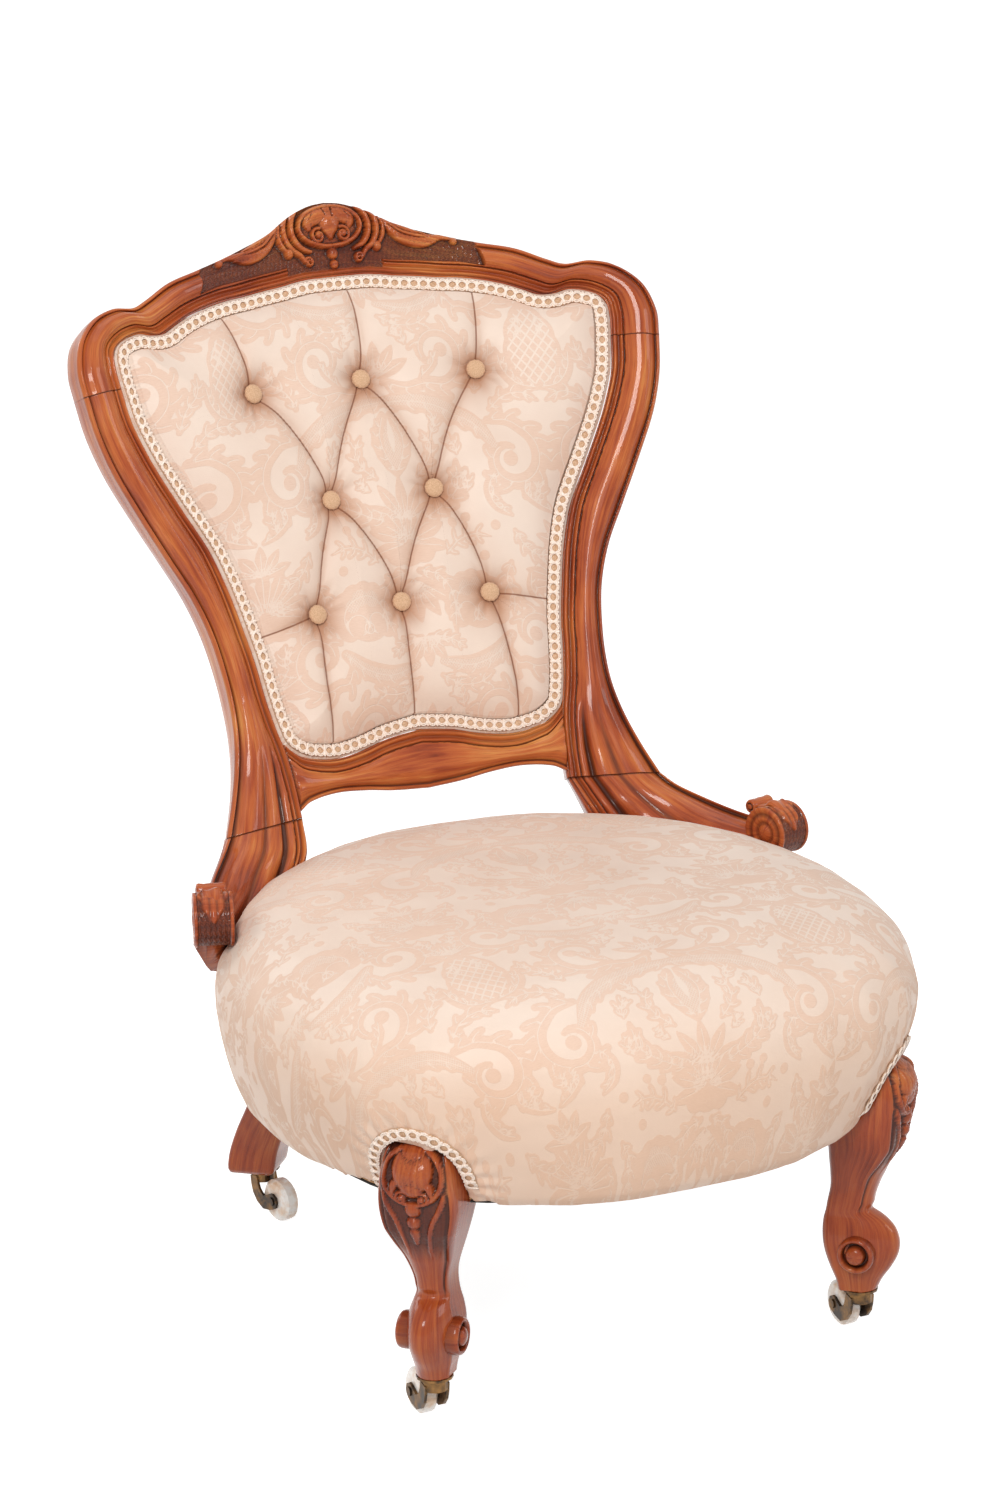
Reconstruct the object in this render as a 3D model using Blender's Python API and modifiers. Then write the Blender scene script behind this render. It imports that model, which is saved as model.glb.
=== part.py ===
"""Ladies chair: a low spoon-back chair in walnut, with a tufted back and a sprung seat.

Metres, +Z up.  The sitter faces -Y and sits with the left hand towards +X.  The origin is on
the floor, under the middle of the chair's box.  The chair stands on four swivelling castors.
"""

import math

import bmesh
import bpy
import numpy as np
from mathutils import Matrix, Vector
from mathutils.bvhtree import BVHTree

# Seat plan, which the legs and the elbows follow
SEAT_HALF = 0.2885
SEAT_FRONT_Y = -0.3300
SEAT_BACK_Y = 0.2485
SEAT_MID_Y = -0.040

# General clearances
GAP = 0.0003            # between pieces that touch
OVERRUN = 0.02          # how far a cutter runs past what it cuts
MERGE = 0.00001

# Castors
CASTOR_HEIGHT = 0.0440
PLATE_T = 0.002
PLATE_R = 0.0155
PIVOT_R = 0.004
PIVOT_HEAD_R = 0.006
PIVOT_HEAD_T = 0.0013
WHEEL_R = 0.0195
WHEEL_W = 0.0160
TREAD_W = 0.0095
HUB_R = 0.0108
WHEEL_FACETS = 20       # one of them is flat on the floor
AXLE_R = 0.0025
AXLE_HEAD_R = 0.0042
AXLE_HEAD_T = 0.001
AXLE_FACETS = 8
BOSS_R = 0.0108
BOSS_H = 0.0105
TRAIL = 0.0278
CHEEK_T = 0.0025
CHEEK_TOP_R = 0.0048
CHEEK_END_R = 0.0074
CHEEK_SIDE_GAP = 0.0006
FRONT_HEADING = math.radians(90)
REAR_HEADING = math.radians(-77)

# Front legs: the foot centres, and the leg's outline in its own diagonal plane
FOOT_INSET = 0.0905      # from the seat's widest line, across and then from the front
FOOT_SETBACK = 0.105
FOOT_HALF = SEAT_HALF - FOOT_INSET
FOOT_Y = SEAT_FRONT_Y + FOOT_SETBACK
LEG_TOP_Z = 0.2645
KNEE_REACH = 0.043      # the knee's front face, from the foot's centre line
KNEE_W = 0.067
KNEE_TOP_Z = 0.260
KNEE_CAP = 0.75         # size of the knee's hidden top to the ring below it
ANKLE_W = 0.035
FOOT_W = 0.030
EYE_R = 0.016
EYE_PIN_R = 0.0085
EYE_REACH = 0.029
EYE_Z = 0.0815
EYE_OUT = 0.0026
EYE_RIM = 0.0035
CAMEO_REACH = 0.0404
CAMEO_H = 0.050         # the oval boss on the knee
CAMEO_W = 0.046
CAMEO_D = 0.008
CAMEO_Z = 0.231

# Rear legs
REAR_FOOT_INSET = 0.1315
REAR_SPLAY = 0.0195     # of the foot behind the seat
REAR_TOP_INSET = 0.1055
REAR_FOOT_HALF = SEAT_HALF - REAR_FOOT_INSET
REAR_FOOT_Y = SEAT_BACK_Y + REAR_SPLAY
REAR_TOP_Y = SEAT_BACK_Y - REAR_TOP_INSET
REAR_FOOT_W = 0.045
REAR_CASTOR_SHIFT = 0.006   # of the castor from the middle of the foot, inwards
REAR_TOP_W = 0.046
REAR_TURN = math.radians(40)    # the leg's faces follow the corner of the seat frame

# Back frame
TOTAL_HEIGHT = 0.892
SHOULDER_HALF = 0.280
LOW_JOINT_Z = 0.394
SHOULDER_JOINT_Z = 0.7675
BACK_FOOT_Z = 0.4585    # height at which the back's face is BACK_FOOT_Y
BACK_FOOT_Y = 0.237
BACK_RAKE = math.tan(math.radians(23.15))
BACK_HOLLOW_R = 0.5556  # the back's hollow, seen from above
FRAME_T = 0.032
FRAME_RELIEF = 0.0065
CREST_BACK_SHARE = 0.737    # of the frame's thickness, behind the top of the crest
RAIL_END_LOW = 0.127
RAIL_END_HIGH = 0.135
RAIL_LOW_Z = 0.3985
RAIL_RISE = 0.0565
CREST_STEPS = 21        # of each half
CREST_RISE = 0.127      # from the shoulder joints to the top of the crest's face

# Elbows
ELBOW_INSET = 0.002      # of the elbow's outer line from the seat's
ELBOW_REACH = SEAT_HALF - ELBOW_INSET
ELBOW_END_Y = 0.046
ELBOW_T = 0.022
ELBOW_ROOM = 0.0026     # left round the elbow by the seat's stuffing
KNUCKLE_R = 0.0240
KNUCKLE_W = 0.034
KNUCKLE_INSET = 0.017   # of the roll's middle from the elbow's outer line
KNUCKLE_HALF = ELBOW_REACH - KNUCKLE_INSET
KNUCKLE_Y = 0.0585
KNUCKLE_Z = 0.3620
KNUCKLE_SIDES = 14
TENON_W = 0.030         # foot of the elbow that stands on the side rail
TENON_T = 0.020
TENON_Y = 0.092
TENON_TOP_Z = 0.334

# Seat
SEAT_LOW_Z = 0.1900
SEAT_CROWN_Z = 0.3795
SEAT_SIDES = 16
CORNER_WAY = math.radians(58)       # of the front corners, from straight ahead
CORNER_SPREAD = math.radians(28)
SEAT_FRAME_SIDES = 40   # of the seat frame's outline
RAIL_T = 0.026
RAIL_BOTTOM_Z = 0.2010
CLOTH_T = 0.0008
RAIL_TOP_Z = LEG_TOP_Z
RAIL_INSET = 0.040      # the rails' outer face, inside the seat's widest line
BLOCK_SIZE = 0.050
WEB_W = 0.050
WEB_T = 0.0014
SPRING_R = 0.029
SPRING_WAIST_R = 0.021
SPRING_WIRE_R = 0.0018
SPRING_TURNS = 2.5
SPRING_POINTS = 7
SPRING_SPREAD_X = 0.095
SPRING_SPREAD_Y = 0.090
CANVAS_T = 0.0015

# Back upholstery
PAD_CROWN = 0.030
PAD_DIP = 0.019
PAD_SHOULDER = 0.022
PAD_DEPTH = 0.010       # of the pad behind the frame's face
PAD_ACROSS_CELLS = 24   # of the tufted face, each way
PAD_ALONG_CELLS = 24
PAD_SKIP_CELLS = 2      # the plain back has one cell for so many
CELL_BIAS = 0.4
SHEET_CELLS = 8         # of the sheets behind the pad, each way
SHEET_SLIT = 0.0050
SHEET_GAP = 0.0012      # between the pad and the canvas, which have different cells
PAD_SLIT = 0.0015       # between the upholstery and the frame's opening
PAD_START = 0.003       # how soon the stuffing swells behind the gimp
REBATE_W = 0.0125
REBATE_DROP = 0.0015
PLEAT_DIP = 0.007
PLEAT_SPREAD = 0.011
BUTTON_SPREAD = 0.026
BUTTON_R = 0.00875
BUTTON_H = 0.0055
BUTTON_SIDES = 10
BUTTON_TOP_X = 0.1107
BUTTON_TOP_Z = 0.7411
BUTTON_MID_X = 0.0512
BUTTON_MID_Z = 0.6442
BUTTON_LOW_X = 0.0857
BUTTON_LOW_Z = 0.5530
OUTSIDE_T = 0.003
OUTSIDE_DEPTH = 0.024
OUTSIDE_DOME = 0.005
GIMP_W = 0.011
GIMP_T = 0.0032
KNEE_GIMP_GAP = 0.0024  # between the braid and the knee it goes round
GIMP_LIFT = 0.0016      # over the cloth round the knee
GIMP_POINTS = 76
KNEE_GIMP_POINTS = 15

# The chair's box is centred on the origin by moving all of it along Y
CREST_BACK_Y = (BACK_FOOT_Y + BACK_RAKE * (TOTAL_HEIGHT - BACK_FOOT_Z)
                + CREST_BACK_SHARE * FRAME_T / math.hypot(1, BACK_RAKE))
DATUM_Y = -(SEAT_FRONT_Y + CREST_BACK_Y) / 2

# Station tables: every number is a share of the size named beside it
# stile: height between the two joints, outer and inner edge of SHOULDER_HALF
STILE_SHARES = (
    (0.000, 0.750, 0.462), (0.070, 0.708, 0.466), (0.150, 0.671, 0.480), (0.203, 0.656, 0.499),
    (0.286, 0.652, 0.520), (0.345, 0.659, 0.530), (0.433, 0.680, 0.554), (0.524, 0.724, 0.584),
    (0.612, 0.787, 0.625), (0.711, 0.857, 0.697), (0.845, 0.942, 0.789), (0.925, 0.974, 0.829),
    (1.000, 0.990, 0.846))
# crest: outer x of SHOULDER_HALF, outer z of CREST_RISE, then the inner edge alike
CREST_SHARES = (
    (0.990, 0.000, 0.846, 0.000), (0.995, 0.180, 0.854, 0.150), (0.970, 0.350, 0.845, 0.253),
    (0.914, 0.462, 0.802, 0.305), (0.830, 0.512, 0.735, 0.322), (0.742, 0.495, 0.664, 0.285),
    (0.696, 0.528, 0.616, 0.322), (0.612, 0.603, 0.543, 0.378), (0.486, 0.662, 0.418, 0.433),
    (0.396, 0.706, 0.339, 0.447), (0.311, 0.758, 0.268, 0.465), (0.223, 0.822, 0.196, 0.480),
    (0.129, 0.930, 0.118, 0.504), (0.045, 0.990, 0.039, 0.508), (0.000, 1.000, 0.000, 0.508))
# lower rail: x along each edge of its end, height of RAIL_RISE above RAIL_LOW_Z
RAIL_LOW_SHARES = ((0.000, 0.000), (0.264, 0.045), (0.469, 0.115), (0.717, 0.160), (0.866, 0.133),
                   (0.925, 0.105), (1.000, 0.018))
RAIL_TOP_SHARES = ((0.000, 0.867), (0.248, 0.796), (0.441, 0.690), (0.674, 0.655), (0.815, 0.725),
                   (0.904, 0.805), (1.000, 1.010))
# moulding across a member: place between outer and inner edge, height of FRAME_RELIEF
MOULD_SHARES = ((0.030, -0.35), (0.085, 0.10), (0.210, 0.85), (0.340, 1.00), (0.480, 0.75),
                (0.585, 0.10), (0.625, -0.50), (0.700, 0.15), (0.820, 0.25), (0.880, -0.35),
                (1.000, -0.35))
# the sides and back of a member: place across, depth of FRAME_T
SIDE_SHARES = ((1.000, 0.95), (0.860, 1.00), (0.330, 1.00), (0.190, 0.82), (0.080, 0.48),
               (0.015, 0.15))
# elbow: x of ELBOW_REACH, y of the way from the joint to the end, z of the joint's height,
# first for the outer edge and then for the inner one
ELBOW_SHARES = (
    (0.772, 0.100, 0.976, 0.476, 0.010, 0.944), (0.834, 0.300, 0.953, 0.521, 0.080, 0.885),
    (0.886, 0.500, 0.938, 0.582, 0.220, 0.838), (0.928, 0.690, 0.931, 0.665, 0.420, 0.810),
    (0.955, 0.860, 0.929, 0.763, 0.620, 0.802), (0.972, 1.000, 0.932, 0.868, 0.800, 0.810))
# seat plan, front to back: x of SEAT_HALF, y between SEAT_FRONT_Y and SEAT_BACK_Y
SEAT_PLAN_SHARES = (
    (0.000, 0.000), (0.370, 0.016), (0.700, 0.088), (0.855, 0.155), (0.960, 0.300),
    (1.000, 0.460), (0.985, 0.590), (0.925, 0.715), (0.690, 0.865), (0.370, 0.970), (0.000, 1.000))
# seat side: size of the plan, height between SEAT_LOW_Z and SEAT_CROWN_Z, size at the front corners
SEAT_SIDE_SHARES = (
    (0.800, 0.000, 0.770), (0.933, 0.000, 0.890), (0.972, 0.150, 0.938), (1.005, 0.380, 1.022),
    (1.020, 0.600, 1.066), (0.985, 0.800, 1.010), (0.895, 0.935, 0.895), (0.700, 1.015, 0.690),
    (0.370, 1.022, 0.370))
# front leg's outline: height between the castor and the knee's top, then outer and inner edge
# of KNEE_REACH, then the width between ANKLE_W and KNEE_W
LEG_SHARES = (
    (0.000, 0.344, -0.356, -0.15), (0.050, 0.470, -0.409, -0.08), (0.100, 0.640, -0.500, 0.02),
    (0.165, 0.790, -0.600, 0.08), (0.225, 0.790, -0.652, 0.08), (0.275, 0.660, -0.664, 0.00),
    (0.308, 0.455, -0.652, -0.10), (0.325, 0.288, -0.630, -0.12), (0.370, 0.288, -0.590, -0.10),
    (0.445, 0.390, -0.510, 0.06), (0.505, 0.530, -0.492, 0.27), (0.570, 0.720, -0.490, 0.54),
    (0.640, 0.870, -0.489, 0.82), (0.710, 0.930, -0.540, 1.00), (0.800, 0.960, -0.570, 0.98),
    (0.880, 0.920, -0.570, 0.84), (0.950, 0.780, -0.570, 0.60), (1.000, 0.480, -0.570, 0.30))
# rear leg: height between the castor and the rails' top, x of REAR_FOOT_HALF, y from foot to top
REAR_LEG_SHARES = (
    (0.000, 1.000, 0.000), (0.100, 0.990, 0.044), (0.200, 0.975, 0.132), (0.350, 0.949, 0.304),
    (0.500, 0.936, 0.472), (0.650, 0.930, 0.624), (0.800, 0.936, 0.800), (1.000, 0.955, 1.000))
# corner of a leg's section: place out and across, from its middle
LEG_CORNER_SHARES = ((1.00, 0.70), (0.88, 0.94), (0.45, 1.00), (-0.85, 1.00), (-1.00, 0.85))

COLLECTION = "ladies_chair"
CUTTERS = "cutters"


def clear_scene():
    for item in list(bpy.data.objects):
        bpy.data.objects.remove(item, do_unlink=True)
    for name in (COLLECTION, CUTTERS):
        group = bpy.data.collections.new(name)
        bpy.context.scene.collection.children.link(group)


def linear(channel):
    if channel <= 0.04045:
        return channel / 12.92
    return ((channel + 0.055) / 1.055) ** 2.4


def finish(name, hex_colour, roughness, metallic=0.0):
    """A Principled material from an sRGB hex colour."""
    made = bpy.data.materials.new(name)
    made.use_nodes = True
    shader = made.node_tree.nodes["Principled BSDF"]
    red, green, blue = (int(hex_colour[i:i + 2], 16) / 255 for i in (0, 2, 4))
    shader.inputs["Base Color"].default_value = (linear(red), linear(green), linear(blue), 1)
    shader.inputs["Roughness"].default_value = roughness
    shader.inputs["Metallic"].default_value = metallic
    return made


def place(item, group):
    bpy.data.collections[group].objects.link(item)
    return item


def piece(name, shape, material, parent, group=COLLECTION, smooth=math.radians(40)):
    """An object from a bmesh, with its faces turned outwards."""
    shape.normal_update()
    bmesh.ops.recalc_face_normals(shape, faces=shape.faces)
    mesh = bpy.data.meshes.new(name)
    shape.to_mesh(mesh)
    shape.free()
    mesh.shade_smooth()
    mesh.set_sharp_from_angle(angle=smooth)
    mesh.materials.append(material)
    made = place(bpy.data.objects.new(name, mesh), group)
    made.parent = parent
    return made


def tool(name, shape, parent):
    """A hidden cutter."""
    made = piece(name, shape, finish(name, "808080", 0.5), parent, CUTTERS)
    made.hide_render = True
    made.display_type = "WIRE"
    return made


def cut(target, cutter, operation="DIFFERENCE"):
    change = target.modifiers.new(cutter.name, "BOOLEAN")
    change.operation = operation
    change.solver = "EXACT"
    change.object = cutter


def turned(name, profile, steps, material, parent, group=COLLECTION):
    """A profile of (radius, height) from the top of the axis down its outer side, as a Screw."""
    mesh = bpy.data.meshes.new(name)
    closed = profile[0][0] > 0
    count = len(profile)
    edges = [(i, (i + 1) % count) for i in range(count if closed else count - 1)]
    mesh.from_pydata([(r, 0, z) for r, z in profile], edges, [])
    mesh.materials.append(material)
    made = place(bpy.data.objects.new(name, mesh), group)
    made.parent = parent
    screw = made.modifiers.new("turn", "SCREW")
    screw.steps = steps
    screw.render_steps = steps
    screw.use_merge_vertices = True
    screw.merge_threshold = MERGE
    screw.use_smooth_shade = True
    return made


def turned_tool(name, profile, steps, parent):
    made = turned(name, profile, steps, finish(name, "808080", 0.5), parent, CUTTERS)
    made.hide_render = True
    made.display_type = "WIRE"
    return made


def loft(rings, closed=False, caps=True):
    """Skin a run of rings that have as many points each."""
    shape = bmesh.new()
    loops = [[shape.verts.new(point) for point in ring] for ring in rings]
    followers = loops[1:] + (loops[:1] if closed else [])
    for ring, other in zip(loops, followers):
        for i in range(len(ring)):
            j = (i + 1) % len(ring)
            shape.faces.new((ring[i], ring[j], other[j], other[i]))
    if caps and not closed:
        shape.faces.new(loops[0])
        shape.faces.new(loops[-1])
    return shape


def flow(table, at):
    """A smooth reading of a table whose first column is the place."""
    rows = np.array(table, float)
    key = rows[:, 0]
    at = min(max(at, key[0]), key[-1])
    i = min(max(int(np.searchsorted(key, at, side="right")) - 1, 0), len(key) - 2)
    slopes = np.gradient(rows[:, 1:], key, axis=0)
    span = key[i + 1] - key[i]
    t = (at - key[i]) / span
    a, b = rows[i, 1:], rows[i + 1, 1:]
    u, v = slopes[i] * span, slopes[i + 1] * span
    return ((2 * t**3 - 3 * t**2 + 1) * a + (t**3 - 2 * t**2 + t) * u
            + (3 * t**2 - 2 * t**3) * b + (t**3 - t**2) * v)


def smooth_line(points, count, closed=False):
    """count points at even steps along a smooth curve through the given ones."""
    pts = np.array(points, float)
    if closed:
        pts = np.vstack([pts[-2:], pts, pts[:3]])
    step = np.linalg.norm(np.diff(pts, axis=0), axis=1)
    key = np.concatenate([[0], np.cumsum(step)])
    table = np.column_stack([key, pts])
    start, end = (key[2], key[-3]) if closed else (key[0], key[-1])
    fine = np.array([flow(table, k) for k in np.linspace(start, end, count * 12)])
    run = np.concatenate([[0], np.cumsum(np.linalg.norm(np.diff(fine, axis=0), axis=1))])
    marks = np.linspace(0, run[-1], count + 1)[:-1] if closed else np.linspace(0, run[-1], count)
    return np.column_stack([np.interp(marks, run, fine[:, k]) for k in range(fine.shape[1])])


# The face of the back: raked, and hollow across
def back_y(x, z):
    return BACK_FOOT_Y + BACK_RAKE * (z - BACK_FOOT_Z) - x * x / (2 * BACK_HOLLOW_R)


def back_normal(x):
    return Vector((-x / BACK_HOLLOW_R, -1, BACK_RAKE)).normalized()


def on_back(x, z, lift=0.0):
    return Vector((x, back_y(x, z), z)) + back_normal(x) * lift


def member_ring(outer, inner, normal, side, depth=None, swell=1.0):
    """The moulded section of a frame member between its outer and inner edges."""
    depth = FRAME_T if depth is None else depth
    ring = []
    for across, rise in MOULD_SHARES:
        ring.append(outer.lerp(inner, across) + normal * rise * FRAME_RELIEF * swell)
    for across, down in SIDE_SHARES:
        ring.append(outer.lerp(inner, across) - normal * down * depth)
    return [Vector((side * p.x, p.y, p.z)) for p in ring]


def stile_edges(share):
    outer, inner = flow(STILE_SHARES, share)
    z = LOW_JOINT_Z + share * (SHOULDER_JOINT_Z - LOW_JOINT_Z)
    return outer * SHOULDER_HALF, inner * SHOULDER_HALF, z


def stile(name, side, material, parent):
    length = SHOULDER_JOINT_Z - LOW_JOINT_Z
    shares = np.linspace(GAP / length, 1 - GAP / length, 22)
    rings = []
    for share in shares:
        outer, inner, z = stile_edges(share)
        normal = back_normal((outer + inner) / 2)
        rings.append(member_ring(on_back(outer, z), on_back(inner, z), normal, side))
    return piece(name, loft(rings), material, parent)


def crest_stations():
    """The crest's outer and inner edges, from one shoulder joint over to the other."""
    rows = [(x * SHOULDER_HALF, SHOULDER_JOINT_Z + z * CREST_RISE,
             u * SHOULDER_HALF, SHOULDER_JOINT_Z + w * CREST_RISE) for x, z, u, w in CREST_SHARES]
    half = smooth_line(rows, CREST_STEPS)
    return [tuple(row) for row in half] + [(-x, z, -u, w) for x, z, u, w in half[-2::-1]]


def crest_rail(material, parent):
    rings = []
    rows = crest_stations()
    for i, (x, z, u, w) in enumerate(rows):
        lift = GAP if i in (0, len(rows) - 1) else 0
        outer, inner = on_back(x, z + lift), on_back(u, w + lift)
        rings.append(member_ring(outer, inner, back_normal((x + u) / 2), 1))
    return piece("crest_rail", loft(rings), material, parent)


def rail_heights(at):
    low = flow(RAIL_LOW_SHARES, abs(at))[0] * RAIL_RISE + RAIL_LOW_Z
    top = flow(RAIL_TOP_SHARES, abs(at))[0] * RAIL_RISE + RAIL_LOW_Z
    return low, top


def lower_back_rail(material, parent):
    """A shaped rail: its upper edge carries the pad, its lower edge is an arched opening."""
    slip = GAP / RAIL_END_HIGH
    rings = []
    for at in np.linspace(-1 + slip, 1 - slip, 21):
        low, top = rail_heights(at)
        outer, inner = on_back(at * RAIL_END_LOW, low), on_back(at * RAIL_END_HIGH, top)
        rings.append(member_ring(outer, inner, back_normal(outer.x), 1, swell=0.75))
    return piece("lower_back_rail", loft(rings), material, parent)


def elbow_edges():
    """The elbow's outer and inner edge points, from the joint down to the knuckle."""
    outer, inner, z = stile_edges(0)
    start = on_back(outer, z - GAP)
    rows = [(start, on_back(inner, z - GAP))]
    run = ELBOW_END_Y - start.y
    for ox, oy, oz, ix, iy, iz in ELBOW_SHARES:
        rows.append((Vector((ox * ELBOW_REACH, start.y + oy * run, oz * LOW_JOINT_Z)),
                     Vector((ix * ELBOW_REACH, start.y + iy * run, iz * LOW_JOINT_Z))))
    return rows


def elbow_rings(side, grow=0.0):
    rows = elbow_edges()
    line = smooth_line([tuple(a) + tuple(b) for a, b in rows], 13)
    rings = []
    first = back_normal(line[0][0])
    for i, row in enumerate(line):
        outer, inner = Vector(row[:3]), Vector(row[3:])
        ahead = Vector(line[min(i + 1, len(line) - 1)][:3]) - Vector(line[max(i - 1, 0)][:3])
        across = inner - outer
        normal = across.cross(ahead).normalized()
        if normal.dot(first) < 0:
            normal.negate()
        share = i / (len(line) - 1)
        normal = first.lerp(normal, min(share * 3, 1)).normalized()
        depth = FRAME_T + (ELBOW_T - FRAME_T) * share
        if grow:
            stretch = across.normalized() * grow
            outer, inner = outer - stretch, inner + stretch
            ahead = ahead.normalized() * grow * (-1 if i == 0 else (i == len(line) - 1))
            outer, inner = outer + ahead, inner + ahead
            outer, inner = outer + normal * grow, inner + normal * grow
            depth += 2 * grow
        rings.append(member_ring(outer, inner, normal, side, depth))
    return rings


def knuckle(name, side, parent, grow=0.0):
    """The rolled scroll at the elbow's end, a barrel across the member."""
    before, after = elbow_edges()[-3][0], elbow_edges()[-1][0]
    ahead = Vector((after.x - before.x, after.y - before.y, 0)).normalized()
    up = Vector((0, 0, 1))
    frame = Matrix((ahead, up, ahead.cross(up))).transposed().to_4x4()
    frame.translation = (KNUCKLE_HALF, KNUCKLE_Y, KNUCKLE_Z)
    shape = bmesh.new()
    bmesh.ops.create_cone(shape, cap_ends=True, segments=KNUCKLE_SIDES, radius1=KNUCKLE_R + grow,
                          radius2=KNUCKLE_R + grow, depth=KNUCKLE_W + 2 * grow, matrix=frame)
    for vert in shape.verts:
        vert.co.x *= side
    return tool(name, shape, parent)


def tenon(name, side, parent, grow=0.0):
    """The elbow's foot, down to the side rail inside the stuffing."""
    plan = inset_plan(RAIL_INSET + RAIL_T / 2, SEAT_FRAME_SIDES)
    ahead = plan[(plan[:, 0] > 0) & (plan[:, 1] > SEAT_MID_Y)]
    x = float(np.interp(TENON_Y, ahead[:, 1], ahead[:, 0]))
    low = RAIL_TOP_Z + CANVAS_T + 2 * GAP - grow
    high = TENON_TOP_Z + grow
    shape = bmesh.new()
    size = (TENON_T + 2 * grow, TENON_W + 2 * grow, high - low)
    spot = Matrix.Translation((side * x, TENON_Y, (low + high) / 2))
    bmesh.ops.create_cube(shape, size=1, matrix=spot @ Matrix.Diagonal(size + (1,)))
    return tool(name, shape, parent)


def elbow(name, side, material, parent):
    made = piece(name, loft(elbow_rings(side)), material, parent)
    cut(made, knuckle(name + "_knuckle", side, parent), "UNION")
    cut(made, tenon(name + "_tenon", side, parent), "UNION")
    return made


def leg_frame(side, x_half, y):
    """Axes of a front leg: out along the diagonal, across, and up."""
    out = Vector((side, -1, 0)).normalized()
    across = Vector((1, side, 0)).normalized()
    return Vector((side * x_half, y, 0)), out, across


def front_leg_rings(side, grow=0.0, low=None):
    origin, out, across = leg_frame(side, FOOT_HALF, FOOT_Y)
    rings = []
    height = KNEE_TOP_Z - CASTOR_HEIGHT
    for i, (share, reach, back, width) in enumerate(LEG_SHARES):
        z = CASTOR_HEIGHT + share * height
        if low is not None and z < low:
            continue
        half = (ANKLE_W + width * (KNEE_W - ANKLE_W)) / 2 + grow
        if i == 0:
            half = FOOT_W / 2 + grow
        far, near = reach * KNEE_REACH + grow, back * KNEE_REACH - grow
        mid, span = (far + near) / 2, (far - near) / 2
        corner = [(mid + u * span, v * half) for u, v in LEG_CORNER_SHARES]
        ring = corner + [(u, -v) for u, v in reversed(corner)]
        rings.append([origin + out * u + across * v + Vector((0, 0, z)) for u, v in ring])
    middle = sum(rings[-1], Vector()) / len(rings[-1])
    top = [middle.lerp(p, KNEE_CAP) for p in rings[-1]]
    return rings + [[Vector((p.x, p.y, LEG_TOP_Z + grow)) for p in top]]


def scroll_eye(name, side, face, parent):
    """One eye of the foot's scroll: a raised ring round a button."""
    origin, out, across = leg_frame(side, FOOT_HALF, FOOT_Y)
    profile = [(0, EYE_REACH), (EYE_PIN_R, EYE_REACH), (EYE_PIN_R, EYE_REACH - EYE_RIM * 1.4),
               (EYE_R - EYE_RIM, EYE_REACH - EYE_RIM * 1.4),
               (EYE_R - EYE_RIM * 0.6, EYE_REACH - EYE_RIM * 0.5),
               (EYE_R, EYE_REACH - EYE_RIM), (EYE_R, 0), (0, 0)]
    made = turned_tool(name, profile, 14, parent)
    axis = across * face
    made.matrix_local = Matrix.Translation(origin + out * EYE_OUT + Vector((0, 0, EYE_Z))) @ \
        Vector((0, 0, 1)).rotation_difference(axis).to_matrix().to_4x4()
    return made


def front_leg(name, side, material, parent):
    made = piece(name, loft(front_leg_rings(side)), material, parent)
    for face in (-1, 1):
        word = "outer" if face > 0 else "inner"
        cut(made, scroll_eye(name + "_eye_" + word, side, face, parent), "UNION")
    origin, out, across = leg_frame(side, FOOT_HALF, FOOT_Y)
    shape = bmesh.new()
    frame = Matrix((out, across, Vector((0, 0, 1)))).transposed().to_4x4()
    frame.translation = origin + out * CAMEO_REACH + Vector((0, 0, CAMEO_Z))
    bmesh.ops.create_uvsphere(shape, u_segments=12, v_segments=7, radius=1,
                              matrix=frame @ Matrix.Diagonal((CAMEO_D, CAMEO_W / 2, CAMEO_H / 2, 1)))
    cut(made, tool(name + "_cameo", shape, parent), "UNION")
    return made


def rear_leg_spot(share):
    """The middle of a rear leg at a share of its height."""
    x, y = flow(REAR_LEG_SHARES, share)
    return x * REAR_FOOT_HALF, REAR_FOOT_Y + y * (REAR_TOP_Y - REAR_FOOT_Y)


def rear_leg_rings(side, grow=0.0, low=None):
    """A square leg that sweeps back, from the rails down to the castor."""
    rings = []
    low_z = CASTOR_HEIGHT
    for share in np.linspace(0, 1, 10):
        z = low_z + share * (LEG_TOP_Z - low_z)
        if low is not None and z < low:
            continue
        x, y = rear_leg_spot(share)
        half = (REAR_FOOT_W + (REAR_TOP_W - REAR_FOOT_W) * share) / 2 + grow
        soft = half * 0.22
        ring = [(-half + soft, -half), (half - soft, -half), (half, -half + soft), (half, half - soft),
                (half - soft, half), (-half + soft, half), (-half, half - soft), (-half, -half + soft)]
        turn = Matrix.Rotation(side * REAR_TURN, 3, "Z")
        middle = Vector((side * x, y, z))
        rings.append([middle + turn @ Vector((u, v, 0)) for u, v in ring])
    if grow:
        rings.append([p + Vector((0, 0, grow)) for p in rings[-1]])
    return rings


def seat_plan(count):
    """The seat's outline at its widest, all round, as (x, y)."""
    length = SEAT_BACK_Y - SEAT_FRONT_Y
    half = [(x * SEAT_HALF, SEAT_FRONT_Y + y * length) for x, y in SEAT_PLAN_SHARES]
    other = [(-x, y) for x, y in half[-2:0:-1]]
    return smooth_line(half + other, count, closed=True)


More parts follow.
